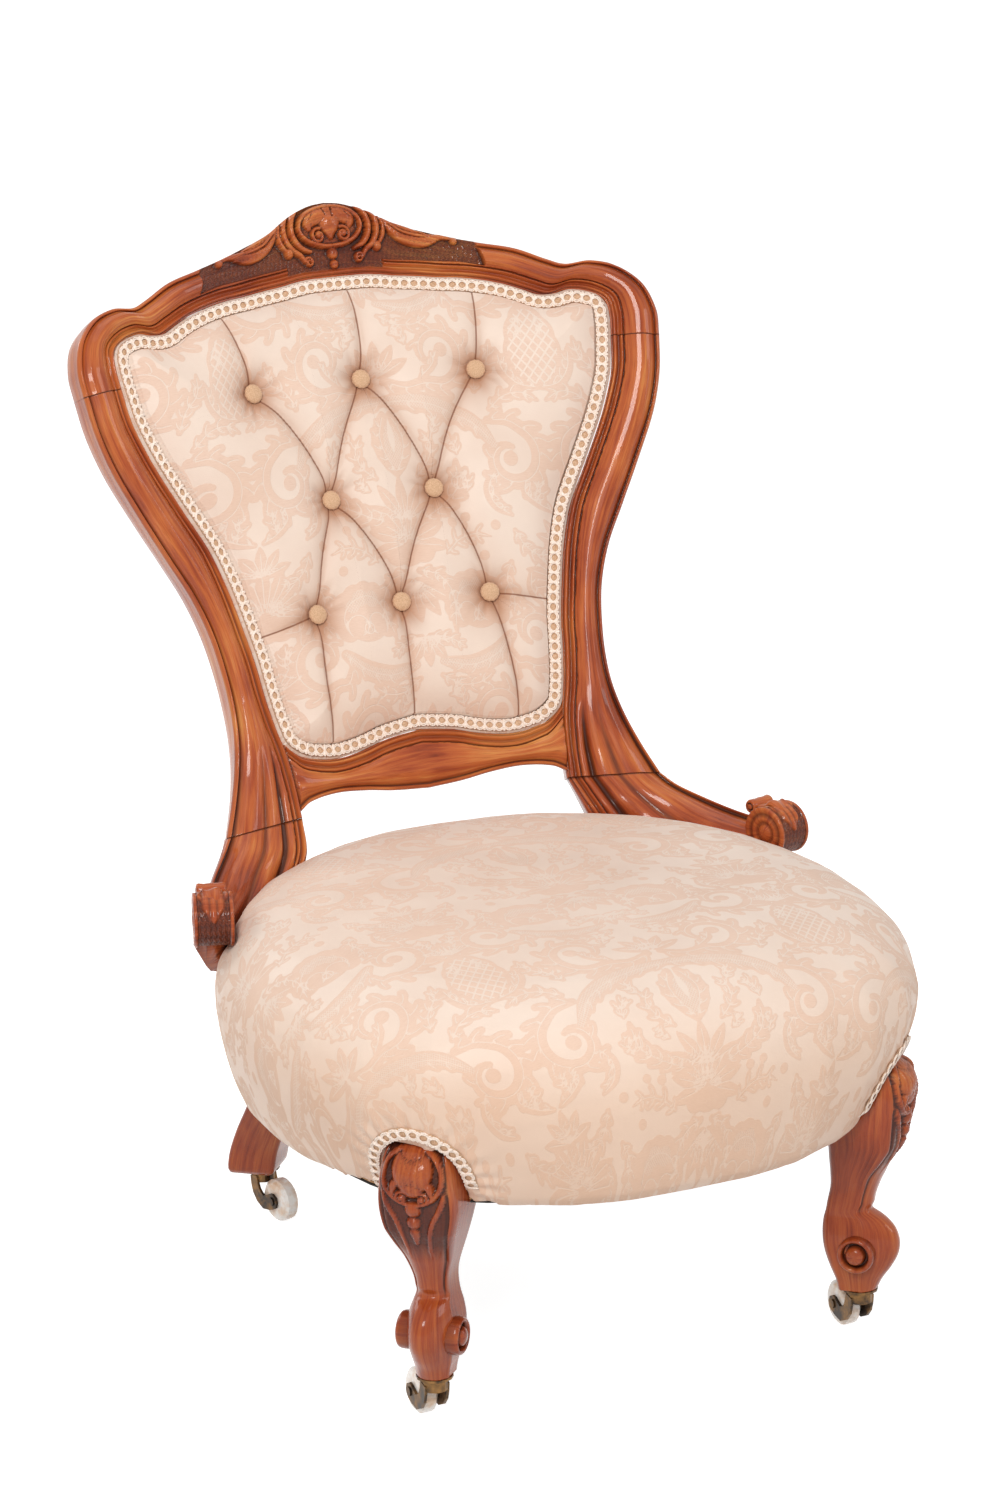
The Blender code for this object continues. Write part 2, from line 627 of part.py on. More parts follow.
def seat_cage():
    plan = seat_plan(SEAT_SIDES)
    shape = bmesh.new()
    rings = []
    corner = [math.exp(-((math.atan2(abs(x), SEAT_MID_Y - y) - CORNER_WAY) / CORNER_SPREAD) ** 2)
              for x, y in plan]
    for size, rise, flare in SEAT_SIDE_SHARES:
        z = SEAT_LOW_Z + rise * (SEAT_CROWN_Z - SEAT_LOW_Z)
        ring = []
        for (x, y), share in zip(plan, corner):
            grown = size + (flare - size) * share
            ring.append(shape.verts.new((x * grown, SEAT_MID_Y + (y - SEAT_MID_Y) * grown, z)))
        rings.append(ring)
    for low, high in zip(rings, rings[1:]):
        for i in range(SEAT_SIDES):
            j = (i + 1) % SEAT_SIDES
            shape.faces.new((low[i], low[j], high[j], high[i]))
    shape.faces.new(rings[0][::-1])
    shape.faces.new(rings[-1])
    return shape


def inset_plan(inset, count):
    """The seat's widest line moved in by a distance."""
    plan = seat_plan(count)
    ahead = np.roll(plan, -1, axis=0) - np.roll(plan, 1, axis=0)
    normal = np.column_stack([ahead[:, 1], -ahead[:, 0]]) / np.linalg.norm(ahead, axis=1)[:, None]
    return plan - normal * inset


def prism(plan, low, high):
    return loft([[Vector((x, y, z)) for x, y in plan] for z in (low, high)])


def frame_station(x, y):
    """How far round the seat frame a leg stands, counted in sides of its outline."""
    plan = inset_plan(RAIL_INSET + RAIL_T / 2, SEAT_FRAME_SIDES)
    marks = np.linspace(0, SEAT_FRAME_SIDES / 2, SEAT_FRAME_SIDES * 10)
    near = [np.hypot(*(frame_point(plan, mark) - (x, y))) for mark in marks]
    return float(marks[int(np.argmin(near))])


def frame_point(plan, mark):
    low = math.floor(mark)
    here, ahead = plan[low % SEAT_FRAME_SIDES], plan[(low + 1) % SEAT_FRAME_SIDES]
    return here + (ahead - here) * (mark - low)


def seat_rail(name, start, end, material, parent):
    """A curved rail between two legs, along the seat frame's outline."""
    outer = inset_plan(RAIL_INSET, SEAT_FRAME_SIDES)
    inner = inset_plan(RAIL_INSET + RAIL_T, SEAT_FRAME_SIDES)
    rings = []
    between = range(math.floor(start) + 1, math.ceil(end))
    for mark in [start] + [n for n in between if start + 0.2 < n < end - 0.2] + [end]:
        a, b = frame_point(outer, mark), frame_point(inner, mark)
        rings.append([Vector((a[0], a[1], RAIL_BOTTOM_Z)), Vector((b[0], b[1], RAIL_BOTTOM_Z)),
                      Vector((b[0], b[1], RAIL_TOP_Z)), Vector((a[0], a[1], RAIL_TOP_Z))])
    return piece(name, loft(rings), material, parent)


def opening_half():
    """The frame opening's edge from the middle of the lower rail up to the crest's middle."""
    low = [(at * RAIL_END_HIGH, rail_heights(at)[1]) for at in np.linspace(0, 1, 9)]
    side = []
    for share in np.linspace(0.20, 0.97, 16):
        outer, inner, z = stile_edges(share)
        side.append((inner, z))
    top = [(u, w) for x, z, u, w in crest_stations()[1:CREST_STEPS]]
    return low, side, top


def opening_loop(inset, count):
    """The whole opening's edge, moved in by a distance, as even points of (x, z)."""
    low, side, top = opening_half()
    half = low + side + top
    other = [(-x, z) for x, z in half[-2:0:-1]]
    slope = math.hypot(1, BACK_RAKE)
    loop = smooth_line([(x, z * slope) for x, z in half + other], count, closed=True)
    ahead = np.roll(loop, -1, axis=0) - np.roll(loop, 1, axis=0)
    normal = np.column_stack([ahead[:, 1], -ahead[:, 0]]) / np.linalg.norm(ahead, axis=1)[:, None]
    loop = loop - normal * inset
    return np.column_stack([loop[:, 0], loop[:, 1] / slope])


def cell_shares(count):
    """Where the cells of a side begin: they are shorter towards its corners."""
    even = np.linspace(0, 1, count + 1)
    return even - CELL_BIAS * np.sin(2 * math.pi * even) / (2 * math.pi)


def pad_sides(inset, across, along):
    """The inset opening as four edges: bottom, top, left and right, each from low or left."""
    loop = opening_loop(inset, 240)
    corner_low = int(np.argmin(np.hypot(loop[:, 0] - RAIL_END_HIGH, loop[:, 1] - RAIL_LOW_Z - RAIL_RISE)))
    ear = SHOULDER_JOINT_Z + CREST_RISE * 0.22
    corner_top = int(np.argmin(np.hypot(loop[:, 0] - SHOULDER_HALF * 0.85, loop[:, 1] - ear)))
    right = loop[corner_low:corner_top + 1]
    top_half = loop[corner_top:121]
    low_half = loop[:corner_low + 1]
    mirror = np.array([-1, 1])
    top = np.vstack([(top_half * mirror), top_half[-2::-1]])
    low = np.vstack([(low_half * mirror)[::-1], low_half[1:]])

    def even(line, count):
        run = np.concatenate([[0], np.cumsum(np.linalg.norm(np.diff(line, axis=0), axis=1))])
        marks = run[-1] * cell_shares(count)
        return np.column_stack([np.interp(marks, run, line[:, k]) for k in (0, 1)])

    right = even(right, along)
    return even(low, across), even(top, across), right * mirror, right


def pad_grid(inset, across, along):
    """A grid of (x, z) that fills the opening."""
    low, top, left, right = pad_sides(inset, across, along)
    grid = np.zeros((along + 1, across + 1, 2))
    for j, v in enumerate(cell_shares(along)):
        for i, u in enumerate(cell_shares(across)):
            corners = ((1 - u) * (1 - v) * low[0] + u * (1 - v) * low[-1]
                       + (1 - u) * v * top[0] + u * v * top[-1])
            grid[j, i] = ((1 - v) * low[i] + v * top[i] + (1 - u) * left[j] + u * right[j] - corners)
    return grid


def buttons():
    return [(-BUTTON_TOP_X, BUTTON_TOP_Z), (0, BUTTON_TOP_Z), (BUTTON_TOP_X, BUTTON_TOP_Z),
            (-BUTTON_MID_X, BUTTON_MID_Z), (BUTTON_MID_X, BUTTON_MID_Z),
            (-BUTTON_LOW_X, BUTTON_LOW_Z), (0, BUTTON_LOW_Z), (BUTTON_LOW_X, BUTTON_LOW_Z)]


def pleats():
    """The folds between neighbouring buttons, and from the outer ones to the pad's edge."""
    spots = buttons()
    pairs = [(0, 3), (1, 3), (1, 4), (2, 4), (3, 5), (3, 6), (4, 6), (4, 7)]
    lines = [(spots[a], spots[b]) for a, b in pairs]
    lines += [(spots[i], (spots[i][0] * 1.12, SHOULDER_JOINT_Z + CREST_RISE)) for i in (0, 1, 2)]
    lines += [(spots[i], (spots[i][0] * 0.92, RAIL_LOW_Z)) for i in (5, 6, 7)]
    lines += [(spots[i], (spots[i][0] * 2.2, spots[i][1])) for i in (5, 7)]
    return lines


def to_line(x, z, line):
    (ax, az), (bx, bz) = line
    dx, dz = bx - ax, bz - az
    t = min(max(((x - ax) * dx + (z - az) * dz) / (dx * dx + dz * dz), 0), 1)
    return math.hypot(x - ax - t * dx, z - az - t * dz)


def pad_lift(x, z, edge):
    """How far the tufted face stands before the frame's face."""
    inside = float(np.hypot(edge[:, 0] - x, (edge[:, 1] - z) * math.hypot(1, BACK_RAKE)).min())
    puff = 1 - math.exp(-(inside + PAD_START) / PAD_SHOULDER)
    fold = max(math.exp(-(to_line(x, z, line) / PLEAT_SPREAD) ** 2) for line in pleats())
    dip = max(math.exp(-(math.hypot(x - bx, z - bz) / BUTTON_SPREAD) ** 1.6) for bx, bz in buttons())
    return puff * (PAD_CROWN - max(PLEAT_DIP * fold, PAD_DIP * dip))


def rim(across, along):
    """The cells round a grid, as (row, column), anticlockwise from the first."""
    return ([(0, i) for i in range(across)] + [(j, across) for j in range(along)]
            + [(along, i) for i in range(across, 0, -1)] + [(j, 0) for j in range(along, 0, -1)])


def back_pad(material, parent):
    """Tufted face inside a flat rebate for the gimp, a plain back on a coarse grid, and walls."""
    across, along, skip = PAD_ACROSS_CELLS, PAD_ALONG_CELLS, PAD_SKIP_CELLS
    wide = pad_grid(PAD_SLIT, across, along)
    face = pad_grid(PAD_SLIT + REBATE_W, across, along)
    edge = opening_loop(PAD_SLIT + REBATE_W, 160)
    shape = bmesh.new()
    front = [[None] * (across + 1) for _ in range(along + 1)]
    spots = rim(across, along)
    for j, row in enumerate(face):
        for i, (x, z) in enumerate(row):
            lift = -REBATE_DROP if (j, i) in spots else pad_lift(x, z, edge)
            front[j][i] = shape.verts.new(on_back(x, z, lift))
    border = [shape.verts.new(on_back(wide[j, i][0], wide[j, i][1], -REBATE_DROP)) for j, i in spots]
    rear = {}
    for j in range(0, along + 1, skip):
        for i in range(0, across + 1, skip):
            rear[j, i] = shape.verts.new(on_back(wide[j, i][0], wide[j, i][1], -PAD_DEPTH))
    for j in range(along):
        for i in range(across):
            shape.faces.new((front[j][i], front[j][i + 1], front[j + 1][i + 1], front[j + 1][i]))
    for j in range(0, along, skip):
        for i in range(0, across, skip):
            shape.faces.new((rear[j, i], rear[j + skip, i], rear[j + skip, i + skip], rear[j, i + skip]))
    for k, spot in enumerate(spots):
        m = (k + 1) % len(spots)
        a, b = front[spot[0]][spot[1]], front[spots[m][0]][spots[m][1]]
        shape.faces.new((border[k], border[m], b, a))
    for k in range(0, len(spots), skip):
        m = (k + skip) % len(spots)
        wall = [border[(k + n) % len(spots)] for n in range(skip + 1)]
        shape.faces.new(wall + [rear[spots[m]], rear[spots[k]]])
    made = piece("back_pad", shape, material, parent, smooth=math.radians(80))
    seats = bmesh.new()
    for x, z in buttons():
        spot = button_place(x, z)
        depth = PAD_CROWN
        move = Matrix.Translation(spot.translation + back_normal(x) * (depth / 2 - GAP)) @ \
            spot.to_3x3().to_4x4()
        bmesh.ops.create_cone(seats, cap_ends=True, segments=BUTTON_SIDES, radius1=BUTTON_R + 2 * GAP,
                              radius2=BUTTON_R + 2 * GAP, depth=depth, matrix=move)
    cut(made, tool("button_seats", seats, parent))
    return made


def button_place(x, z):
    """The frame of a button: its base on the sunk face, its axis along the back's normal."""
    normal = back_normal(x)
    spot = on_back(x, z, PAD_CROWN - PAD_DIP)
    turn = Vector((0, 0, 1)).rotation_difference(normal).to_matrix().to_4x4()
    return Matrix.Translation(spot) @ turn


def back_button(name, spot, material, parent):
    """A covered button: a low dome."""
    shape = bmesh.new()
    frame = button_place(*spot)
    rows = ((0.90, 0.0), (1.0, 0.35), (0.74, 0.85))
    rings = []
    for r, h in rows:
        ring = []
        for k in range(BUTTON_SIDES):
            angle = 2 * math.pi * k / BUTTON_SIDES
            x, y = r * BUTTON_R * math.cos(angle), r * BUTTON_R * math.sin(angle)
            ring.append(shape.verts.new(frame @ Vector((x, y, h * BUTTON_H))))
        rings.append(ring)
    for ring, other in zip(rings, rings[1:]):
        for k in range(BUTTON_SIDES):
            m = (k + 1) % BUTTON_SIDES
            shape.faces.new((ring[k], ring[m], other[m], other[k]))
    shape.faces.new(rings[0][::-1])
    top = shape.verts.new(frame @ Vector((0, 0, BUTTON_H)))
    for k in range(BUTTON_SIDES):
        shape.faces.new((rings[-1][k], rings[-1][(k + 1) % BUTTON_SIDES], top))
    return piece(name, shape, material, parent)


def band_ring(centre, across, up):
    """The flat oval section of the gimp braid."""
    half, tall = GIMP_W / 2, GIMP_T
    spots = ((-1.0, 0.0), (1.0, 0.0), (0.7, 1.0), (-0.7, 1.0))
    return [centre + across * u * half + up * v * tall for u, v in spots]


def back_gimp(material, parent):
    inset = PAD_SLIT + REBATE_W / 2
    loop = opening_loop(inset, GIMP_POINTS)
    points = [on_back(x, z, 2 * GAP - REBATE_DROP) for x, z in loop]
    rings = []
    for i, point in enumerate(points):
        ahead = points[(i + 1) % len(points)] - points[i - 1]
        up = back_normal(point.x)
        across = ahead.cross(up).normalized()
        rings.append(band_ring(point, across, up))
    return piece("back_gimp", loft(rings, closed=True), material, parent)


def back_sheet(name, front, thickness, dome, material, parent):
    """A thin sheet that closes the opening behind the pad."""
    across, along = SHEET_CELLS, SHEET_CELLS
    grid = pad_grid(SHEET_SLIT, across, along)
    shape = bmesh.new()
    layers = []
    for depth in (front, front + thickness):
        layer = []
        for j, row in enumerate(grid):
            line = []
            for i, (x, z) in enumerate(row):
                rise = math.sin(math.pi * i / across) * math.sin(math.pi * j / along)
                line.append(shape.verts.new(on_back(x, z, -depth - dome * math.sqrt(max(rise, 0)))))
            layer.append(line)
        layers.append(layer)
    for layer in layers:
        for j in range(along):
            for i in range(across):
                shape.faces.new((layer[j][i], layer[j][i + 1], layer[j + 1][i + 1], layer[j + 1][i]))
    a, b = layers
    for i in range(across):
        for j in (0, along):
            shape.faces.new((a[j][i], a[j][i + 1], b[j][i + 1], b[j][i]))
    for j in range(along):
        for i in (0, across):
            shape.faces.new((a[j][i], a[j + 1][i], b[j + 1][i], b[j][i]))
    return piece(name, shape, material, parent)


def knee_gimp(name, side, seat, material, parent):
    """Braid over the arched top of the knee, laid on the seat's cloth."""
    tree = BVHTree.FromObject(seat, bpy.context.evaluated_depsgraph_get())
    origin, out, across = leg_frame(side, FOOT_HALF, FOOT_Y)
    half = KNEE_W / 2 + GIMP_W / 2 + KNEE_GIMP_GAP
    low = SEAT_LOW_Z + GIMP_W * 1.5
    spring = KNEE_TOP_Z - KNEE_W / 2
    arch = KNEE_TOP_Z + GIMP_W / 2 + KNEE_GIMP_GAP - spring
    spots = [(-half, low), (-half, (low + spring) / 2)]
    for k in range(9):
        angle = math.pi * (1 - k / 8)
        spots.append((half * math.cos(angle), spring + arch * math.sin(angle)))
    spots += [(half, (low + spring) / 2), (half, low)]
    line = smooth_line(spots, KNEE_GIMP_POINTS)
    points, normals = [], []
    for v, z in line:
        start = origin + across * v + Vector((0, 0, z)) + out * (KNEE_REACH * 4)
        hit, normal, _, _ = tree.ray_cast(start, -out)
        points.append(hit)
        normals.append(normal)
    rings = []
    for i, (point, normal) in enumerate(zip(points, normals)):
        ahead = points[min(i + 1, len(points) - 1)] - points[max(i - 1, 0)]
        side_way = ahead.cross(normal).normalized()
        rings.append(band_ring(point + normal * GIMP_LIFT, side_way, normal))
    return piece(name, loft(rings), material, parent)


def seat_web(material, parent):
    """Three straps each way, sewn where they cross and tacked under the rails."""
    inside = inset_plan(RAIL_INSET + RAIL_T * 0.25, 96)
    z = RAIL_BOTTOM_Z - GAP - WEB_T / 2
    straps = []
    for k in (-1, 0, 1):
        straps.append((SEAT_MID_Y + k * SPRING_SPREAD_Y, 1))
        straps.append((k * SPRING_SPREAD_X, 0))
    web = None
    for number, (centre, axis) in enumerate(straps):
        middle = SEAT_MID_Y * (1 - axis)
        near = inside[np.abs(inside[:, axis] - centre) < WEB_W * 0.5][:, 1 - axis]
        low, high = near[near < middle].max(), near[near > middle].min()
        reach = high - low
        size = (reach, WEB_W, WEB_T) if axis else (WEB_W, reach, WEB_T)
        spot = ((low + high) / 2, centre, z) if axis else (centre, (low + high) / 2, z)
        shape = bmesh.new()
        bmesh.ops.create_cube(shape, size=1,
                              matrix=Matrix.Translation(spot) @ Matrix.Diagonal(size + (1,)))
        if web is None:
            web = piece("seat_webbing", shape, material, parent)
        else:
            cut(web, tool("strap_%d" % number, shape, parent), "UNION")
    return web


def spring(name, middle, material, parent):
    """A waisted coil between the webbing and the canvas."""
    low = RAIL_BOTTOM_Z + SPRING_WIRE_R
    high = RAIL_TOP_Z - GAP - SPRING_WIRE_R
    count = int(SPRING_TURNS * SPRING_POINTS)
    curve = bpy.data.curves.new(name, "CURVE")
    curve.dimensions = "3D"
    curve.bevel_depth = SPRING_WIRE_R
    curve.bevel_resolution = 1
    curve.use_fill_caps = True
    curve.materials.append(material)
    line = curve.splines.new("POLY")
    line.points.add(count)
    for k in range(count + 1):
        t = k / count
        waist = abs(2 * t - 1) ** 1.5
        r = SPRING_WAIST_R + (SPRING_R - SPRING_WAIST_R) * waist
        angle = 2 * math.pi * SPRING_TURNS * t
        line.points[k].co = (r * math.cos(angle), r * math.sin(angle), low + t * (high - low), 1)
    coil = place(bpy.data.objects.new(name, curve), COLLECTION)
    coil.parent = parent
    coil.location = middle
    return coil


def seat_springs(material, parent):
    """Five coils: one in the middle and four round it."""
    least = (RAIL_TOP_Z - RAIL_BOTTOM_Z) / SPRING_TURNS - 2 * SPRING_WIRE_R
    print("least gap between turns of a spring: %.4f m" % least)
    spots = [(0, 0), (-1, -0.75), (1, -0.75), (-1, 0.75), (1, 0.75)]
    for number, (x, y) in enumerate(spots):
        middle = (x * SPRING_SPREAD_X * 0.75, SEAT_MID_Y + y * SPRING_SPREAD_Y, 0)
        spring("seat_spring_%d" % (number + 1), middle, material, parent)


def corner_block(name, side, material, parent):
    """A glue block behind a front leg, inside the seat frame."""
    shape = bmesh.new()
    height = RAIL_TOP_Z - RAIL_BOTTOM_Z
    origin, out, across = leg_frame(side, FOOT_HALF, FOOT_Y)
    spot = origin - out * (GAP - LEG_SHARES[-1][2] * KNEE_REACH + BLOCK_SIZE * 0.28)
    frame = Matrix((out, across, Vector((0, 0, 1)))).transposed().to_4x4()
    frame.translation = (spot.x, spot.y, RAIL_BOTTOM_Z + height / 2)
    size = Matrix.Diagonal((BLOCK_SIZE * 0.56, BLOCK_SIZE * 0.7, height * 0.8, 1))
    bmesh.ops.create_cube(shape, size=1, matrix=frame @ size)
    return piece(name, shape, material, parent)


def castor(word, origin, heading, finishes, parent):
    """A swivelling castor under a foot: plate and pivot, fork, axle and wheel."""
    brass, china = finishes
    top = CASTOR_HEIGHT - GAP
    under = top - PLATE_T
    boss_top = under - GAP
    boss_low = boss_top - BOSS_H
    head_top = boss_low - GAP
    base = place(bpy.data.objects.new(word + "_castor_place", None), COLLECTION)
    base.parent = parent
    base.location = origin
    profile = [(0, top), (PLATE_R, top), (PLATE_R, under), (PIVOT_R, under), (PIVOT_R, head_top),
               (PIVOT_HEAD_R, head_top), (PIVOT_HEAD_R * 0.8, head_top - PIVOT_HEAD_T),
               (0, head_top - PIVOT_HEAD_T)]
    turned(word + "_castor_plate", profile, 14, brass, base)
    swivel = place(bpy.data.objects.new(word + "_castor_swivel", None), COLLECTION)
    swivel.parent = base
    swivel.rotation_euler = (0, 0, heading)
    axle_z = WHEEL_R * math.cos(math.pi / WHEEL_FACETS)
    hole = PIVOT_R + 2 * GAP
    ring = [(BOSS_R, boss_top), (BOSS_R, boss_low), (hole, boss_low), (hole, boss_top)]
    fork = turned(word + "_castor_fork", ring, 14, brass, swivel)
    inner = WHEEL_W / 2 + CHEEK_SIDE_GAP
    way = smooth_line([(0, boss_top - CHEEK_TOP_R), (TRAIL * 0.12, axle_z + (boss_low - axle_z) * 0.35),
                       (TRAIL * 0.5, axle_z * 0.78), (TRAIL, axle_z)], 7)
    for face in (-1, 1):
        left, right = [], []
        for i, (x, z) in enumerate(way):
            ahead = way[min(i + 1, len(way) - 1)] - way[max(i - 1, 0)]
            nx, nz = -ahead[1] / np.hypot(*ahead), ahead[0] / np.hypot(*ahead)
            r = CHEEK_TOP_R + (CHEEK_END_R - CHEEK_TOP_R) * i / (len(way) - 1)
            left.append((x + nx * r, z + nz * r))
            right.append((x - nx * r, z - nz * r))
        ahead = way[-1] - way[-2]
        start = math.atan2(ahead[1], ahead[0])
        tip = [(TRAIL + CHEEK_END_R * math.cos(start + a), axle_z + CHEEK_END_R * math.sin(start + a))
               for a in (math.pi / 3, math.pi / 9, -math.pi / 9, -math.pi / 3)]
        outline = left + tip + right[::-1]
        low, high = face * inner, face * (inner + CHEEK_T)
        shape = loft([[Vector((x, y, min(z, boss_top))) for x, z in outline] for y in (low, high)])
        cheek = tool(word + "_cheek_" + ("left" if face > 0 else "right"), shape, swivel)
        cut(fork, cheek, "UNION")
    across = Matrix.Rotation(math.pi / 2, 4, "X")
    bore = turned_tool(word + "_axle_hole", [(0, BOSS_R * 2), (AXLE_R + GAP, BOSS_R * 2),
                                             (AXLE_R + GAP, -BOSS_R * 2), (0, -BOSS_R * 2)], 10, swivel)
    bore.matrix_local = Matrix.Translation((TRAIL, 0, axle_z)) @ across
    cut(fork, bore)
    hub = place(bpy.data.objects.new(word + "_castor_axis", None), COLLECTION)
    hub.parent = swivel
    hub.location = (TRAIL, 0, axle_z)
    face_out = inner + CHEEK_T + GAP
    rod = [(0, face_out + AXLE_HEAD_T), (AXLE_HEAD_R, face_out + AXLE_HEAD_T), (AXLE_HEAD_R, face_out),
           (AXLE_R, face_out), (AXLE_R, -face_out), (AXLE_HEAD_R, -face_out),
           (AXLE_HEAD_R, -face_out - AXLE_HEAD_T), (0, -face_out - AXLE_HEAD_T)]
    axle = turned(word + "_castor_axle", rod, AXLE_FACETS, brass, hub)
    axle.matrix_local = across
    half, flat, eye = WHEEL_W / 2, TREAD_W / 2, AXLE_R + GAP
    rim = WHEEL_R - (half - flat)
    tyre = [(eye, half), (HUB_R, half), (rim, half * 0.92), (WHEEL_R, flat), (WHEEL_R, -flat),
            (rim, -half * 0.92), (HUB_R, -half), (eye, -half)]
    wheel = turned(word + "_castor_wheel", tyre, WHEEL_FACETS, china, hub)
    wheel.matrix_local = across @ Matrix.Rotation(math.pi / WHEEL_FACETS, 4, "Z")


def build():
    clear_scene()
    datum = place(bpy.data.objects.new("chair_datum", None), COLLECTION)
    datum.location = (0, DATUM_Y, 0)
    walnut = finish("polished walnut", "9A4A28", 0.25)
    beech = finish("beech frame", "C09060", 0.6)
    damask = finish("ivory damask", "EBDCCB", 0.55)
    button_cloth = finish("button cloth", "D4AE8C", 0.6)
    braid = finish("ivory gimp braid", "E8DCC8", 0.8)
    linen = finish("linen webbing", "A89070", 0.9)
    lining = finish("black lining", "2A2624", 0.9)
    steel = finish("copper-plated spring steel", "9A6A48", 0.4, 1.0)
    brass = finish("aged brass", "6B5A48", 0.4, 1.0)
    china = finish("white ceramic", "FFF4E6", 0.2)

    crest_rail(walnut, datum)
    lower_back_rail(walnut, datum)
    sides = (("right", -1), ("left", 1))
    for word, side in sides:
        stile(word + "_stile", side, walnut, datum)
        elbow(word + "_elbow", side, walnut, datum)
        front_leg(word + "_front_leg", side, walnut, datum)
        piece(word + "_back_leg", loft(rear_leg_rings(side)), walnut, datum)

    seat = piece("seat_pad", seat_cage(), damask, datum, smooth=math.radians(80))
    crown = seat.modifiers.new("crown", "SUBSURF")
    crown.levels = 1
    crown.render_levels = 1
    bpy.context.view_layer.update()
    for word, side in sides:
        knee_gimp(word + "_knee_gimp", side, seat, braid, datum)
    hollow = prism(inset_plan(RAIL_INSET - GAP, SEAT_FRAME_SIDES), SEAT_LOW_Z - OVERRUN,
                   RAIL_TOP_Z + CANVAS_T + 2 * GAP)
    cut(seat, tool("rail_hollow", hollow, datum))
    under = SEAT_LOW_Z - OVERRUN
    for word, side in sides:
        cut(seat, tool(word + "_knee_room", loft(front_leg_rings(side, GAP, under)), datum))
        cut(seat, tool(word + "_leg_room", loft(rear_leg_rings(side, GAP, under)), datum))
        cut(seat, tool(word + "_elbow_room", loft(elbow_rings(side, ELBOW_ROOM)), datum))
        cut(seat, knuckle(word + "_knuckle_room", side, datum, ELBOW_ROOM))
        cut(seat, tenon(word + "_tenon_room", side, datum, GAP))

    front_legs = [tool(word + "_rail_end", loft(front_leg_rings(side, GAP, under)), datum)
                  for word, side in sides]
    rear_legs = [tool(word + "_rail_heel", loft(rear_leg_rings(side, GAP, under)), datum)
                 for word, side in sides]
    fore = frame_station(FOOT_HALF, FOOT_Y)
    aft = frame_station(*rear_leg_spot(1))
    rails = (("front_seat_rail", -fore, fore, front_legs),
             ("left_seat_rail", fore, aft, front_legs + rear_legs),
             ("back_seat_rail", aft, SEAT_FRAME_SIDES - aft, rear_legs),
             ("right_seat_rail", -aft, -fore, front_legs + rear_legs))
    for name, start, end, ends in rails:
        made = seat_rail(name, start, end, beech, datum)
        for leg in ends:
            cut(made, leg)
    for word, side in sides:
        corner_block(word + "_corner_block", side, beech, datum)
    web = seat_web(linen, datum)
    seat_springs(steel, datum)
    web_low = RAIL_BOTTOM_Z - GAP - WEB_T
    cover = prism(inset_plan(RAIL_INSET + GAP, SEAT_FRAME_SIDES), web_low - GAP - CLOTH_T, web_low - GAP)
    bottom = piece("bottom_cloth", cover, lining, datum)
    for leg in front_legs + rear_legs:
        cut(bottom, leg)
        cut(web, leg)
    canvas = prism(inset_plan(RAIL_INSET + GAP, SEAT_FRAME_SIDES), RAIL_TOP_Z + GAP,
                   RAIL_TOP_Z + GAP + CANVAS_T)
    piece("spring_canvas", canvas, linen, datum)

    back_pad(damask, datum)
    for number, spot in enumerate(buttons()):
        back_button("back_button_%d" % (number + 1), spot, button_cloth, datum)
    back_gimp(braid, datum)
    back_sheet("back_canvas", PAD_DEPTH + SHEET_GAP, CANVAS_T, 0.0, linen, datum)
    back_sheet("outside_back", OUTSIDE_DEPTH, OUTSIDE_T, OUTSIDE_DOME, damask, datum)

    corners = (("front_right", -FOOT_HALF, FOOT_Y, FRONT_HEADING),
               ("front_left", FOOT_HALF, FOOT_Y, FRONT_HEADING),
               ("back_right", REAR_CASTOR_SHIFT - REAR_FOOT_HALF, REAR_FOOT_Y, REAR_HEADING),
               ("back_left", REAR_FOOT_HALF - REAR_CASTOR_SHIFT, REAR_FOOT_Y, math.pi - REAR_HEADING))
    for word, x, y, heading in corners:
        castor(word, (x, y, 0), heading, (brass, china), datum)


build()
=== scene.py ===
"""The ladies chair's looks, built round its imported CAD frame: walnut, damask, gimp and castors."""
import math

import bmesh
import bpy
import numpy as np
from mathutils import Matrix, Vector
from mathutils.bvhtree import BVHTree


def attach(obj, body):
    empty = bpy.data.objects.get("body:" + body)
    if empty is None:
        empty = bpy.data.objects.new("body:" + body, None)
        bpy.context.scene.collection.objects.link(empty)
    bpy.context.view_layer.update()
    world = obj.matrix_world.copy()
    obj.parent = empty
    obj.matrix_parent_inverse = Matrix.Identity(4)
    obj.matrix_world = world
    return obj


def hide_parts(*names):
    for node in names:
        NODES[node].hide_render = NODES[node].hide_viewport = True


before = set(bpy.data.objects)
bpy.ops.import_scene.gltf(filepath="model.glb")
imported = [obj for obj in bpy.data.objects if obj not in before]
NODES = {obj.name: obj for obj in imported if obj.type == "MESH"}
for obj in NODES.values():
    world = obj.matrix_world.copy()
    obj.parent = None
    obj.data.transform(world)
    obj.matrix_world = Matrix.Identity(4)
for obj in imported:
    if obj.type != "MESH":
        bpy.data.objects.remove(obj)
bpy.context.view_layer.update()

# Sizes, in metres, as in the part's source
GAP = 0.0003
JOINT_SLIT = 0.00006
TOTAL_HEIGHT = 0.892
SHOULDER_HALF = 0.280
LOW_JOINT_Z = 0.394
SHOULDER_JOINT_Z = 0.7675
BACK_FOOT_Z = 0.4585
BACK_RAKE = math.tan(math.radians(23.15))
BACK_HOLLOW_R = 0.5556
FRAME_T = 0.032
FRAME_RELIEF = 0.0065
CREST_BACK_SHARE = 0.737
CREST_RISE = 0.127
RAIL_END_LOW = 0.127
RAIL_END_HIGH = 0.135
RAIL_END_SPREAD = 0.0022
RAIL_LOW_Z = 0.3985
RAIL_RISE = 0.0565
SEAT_FRONT_Y = -0.3300
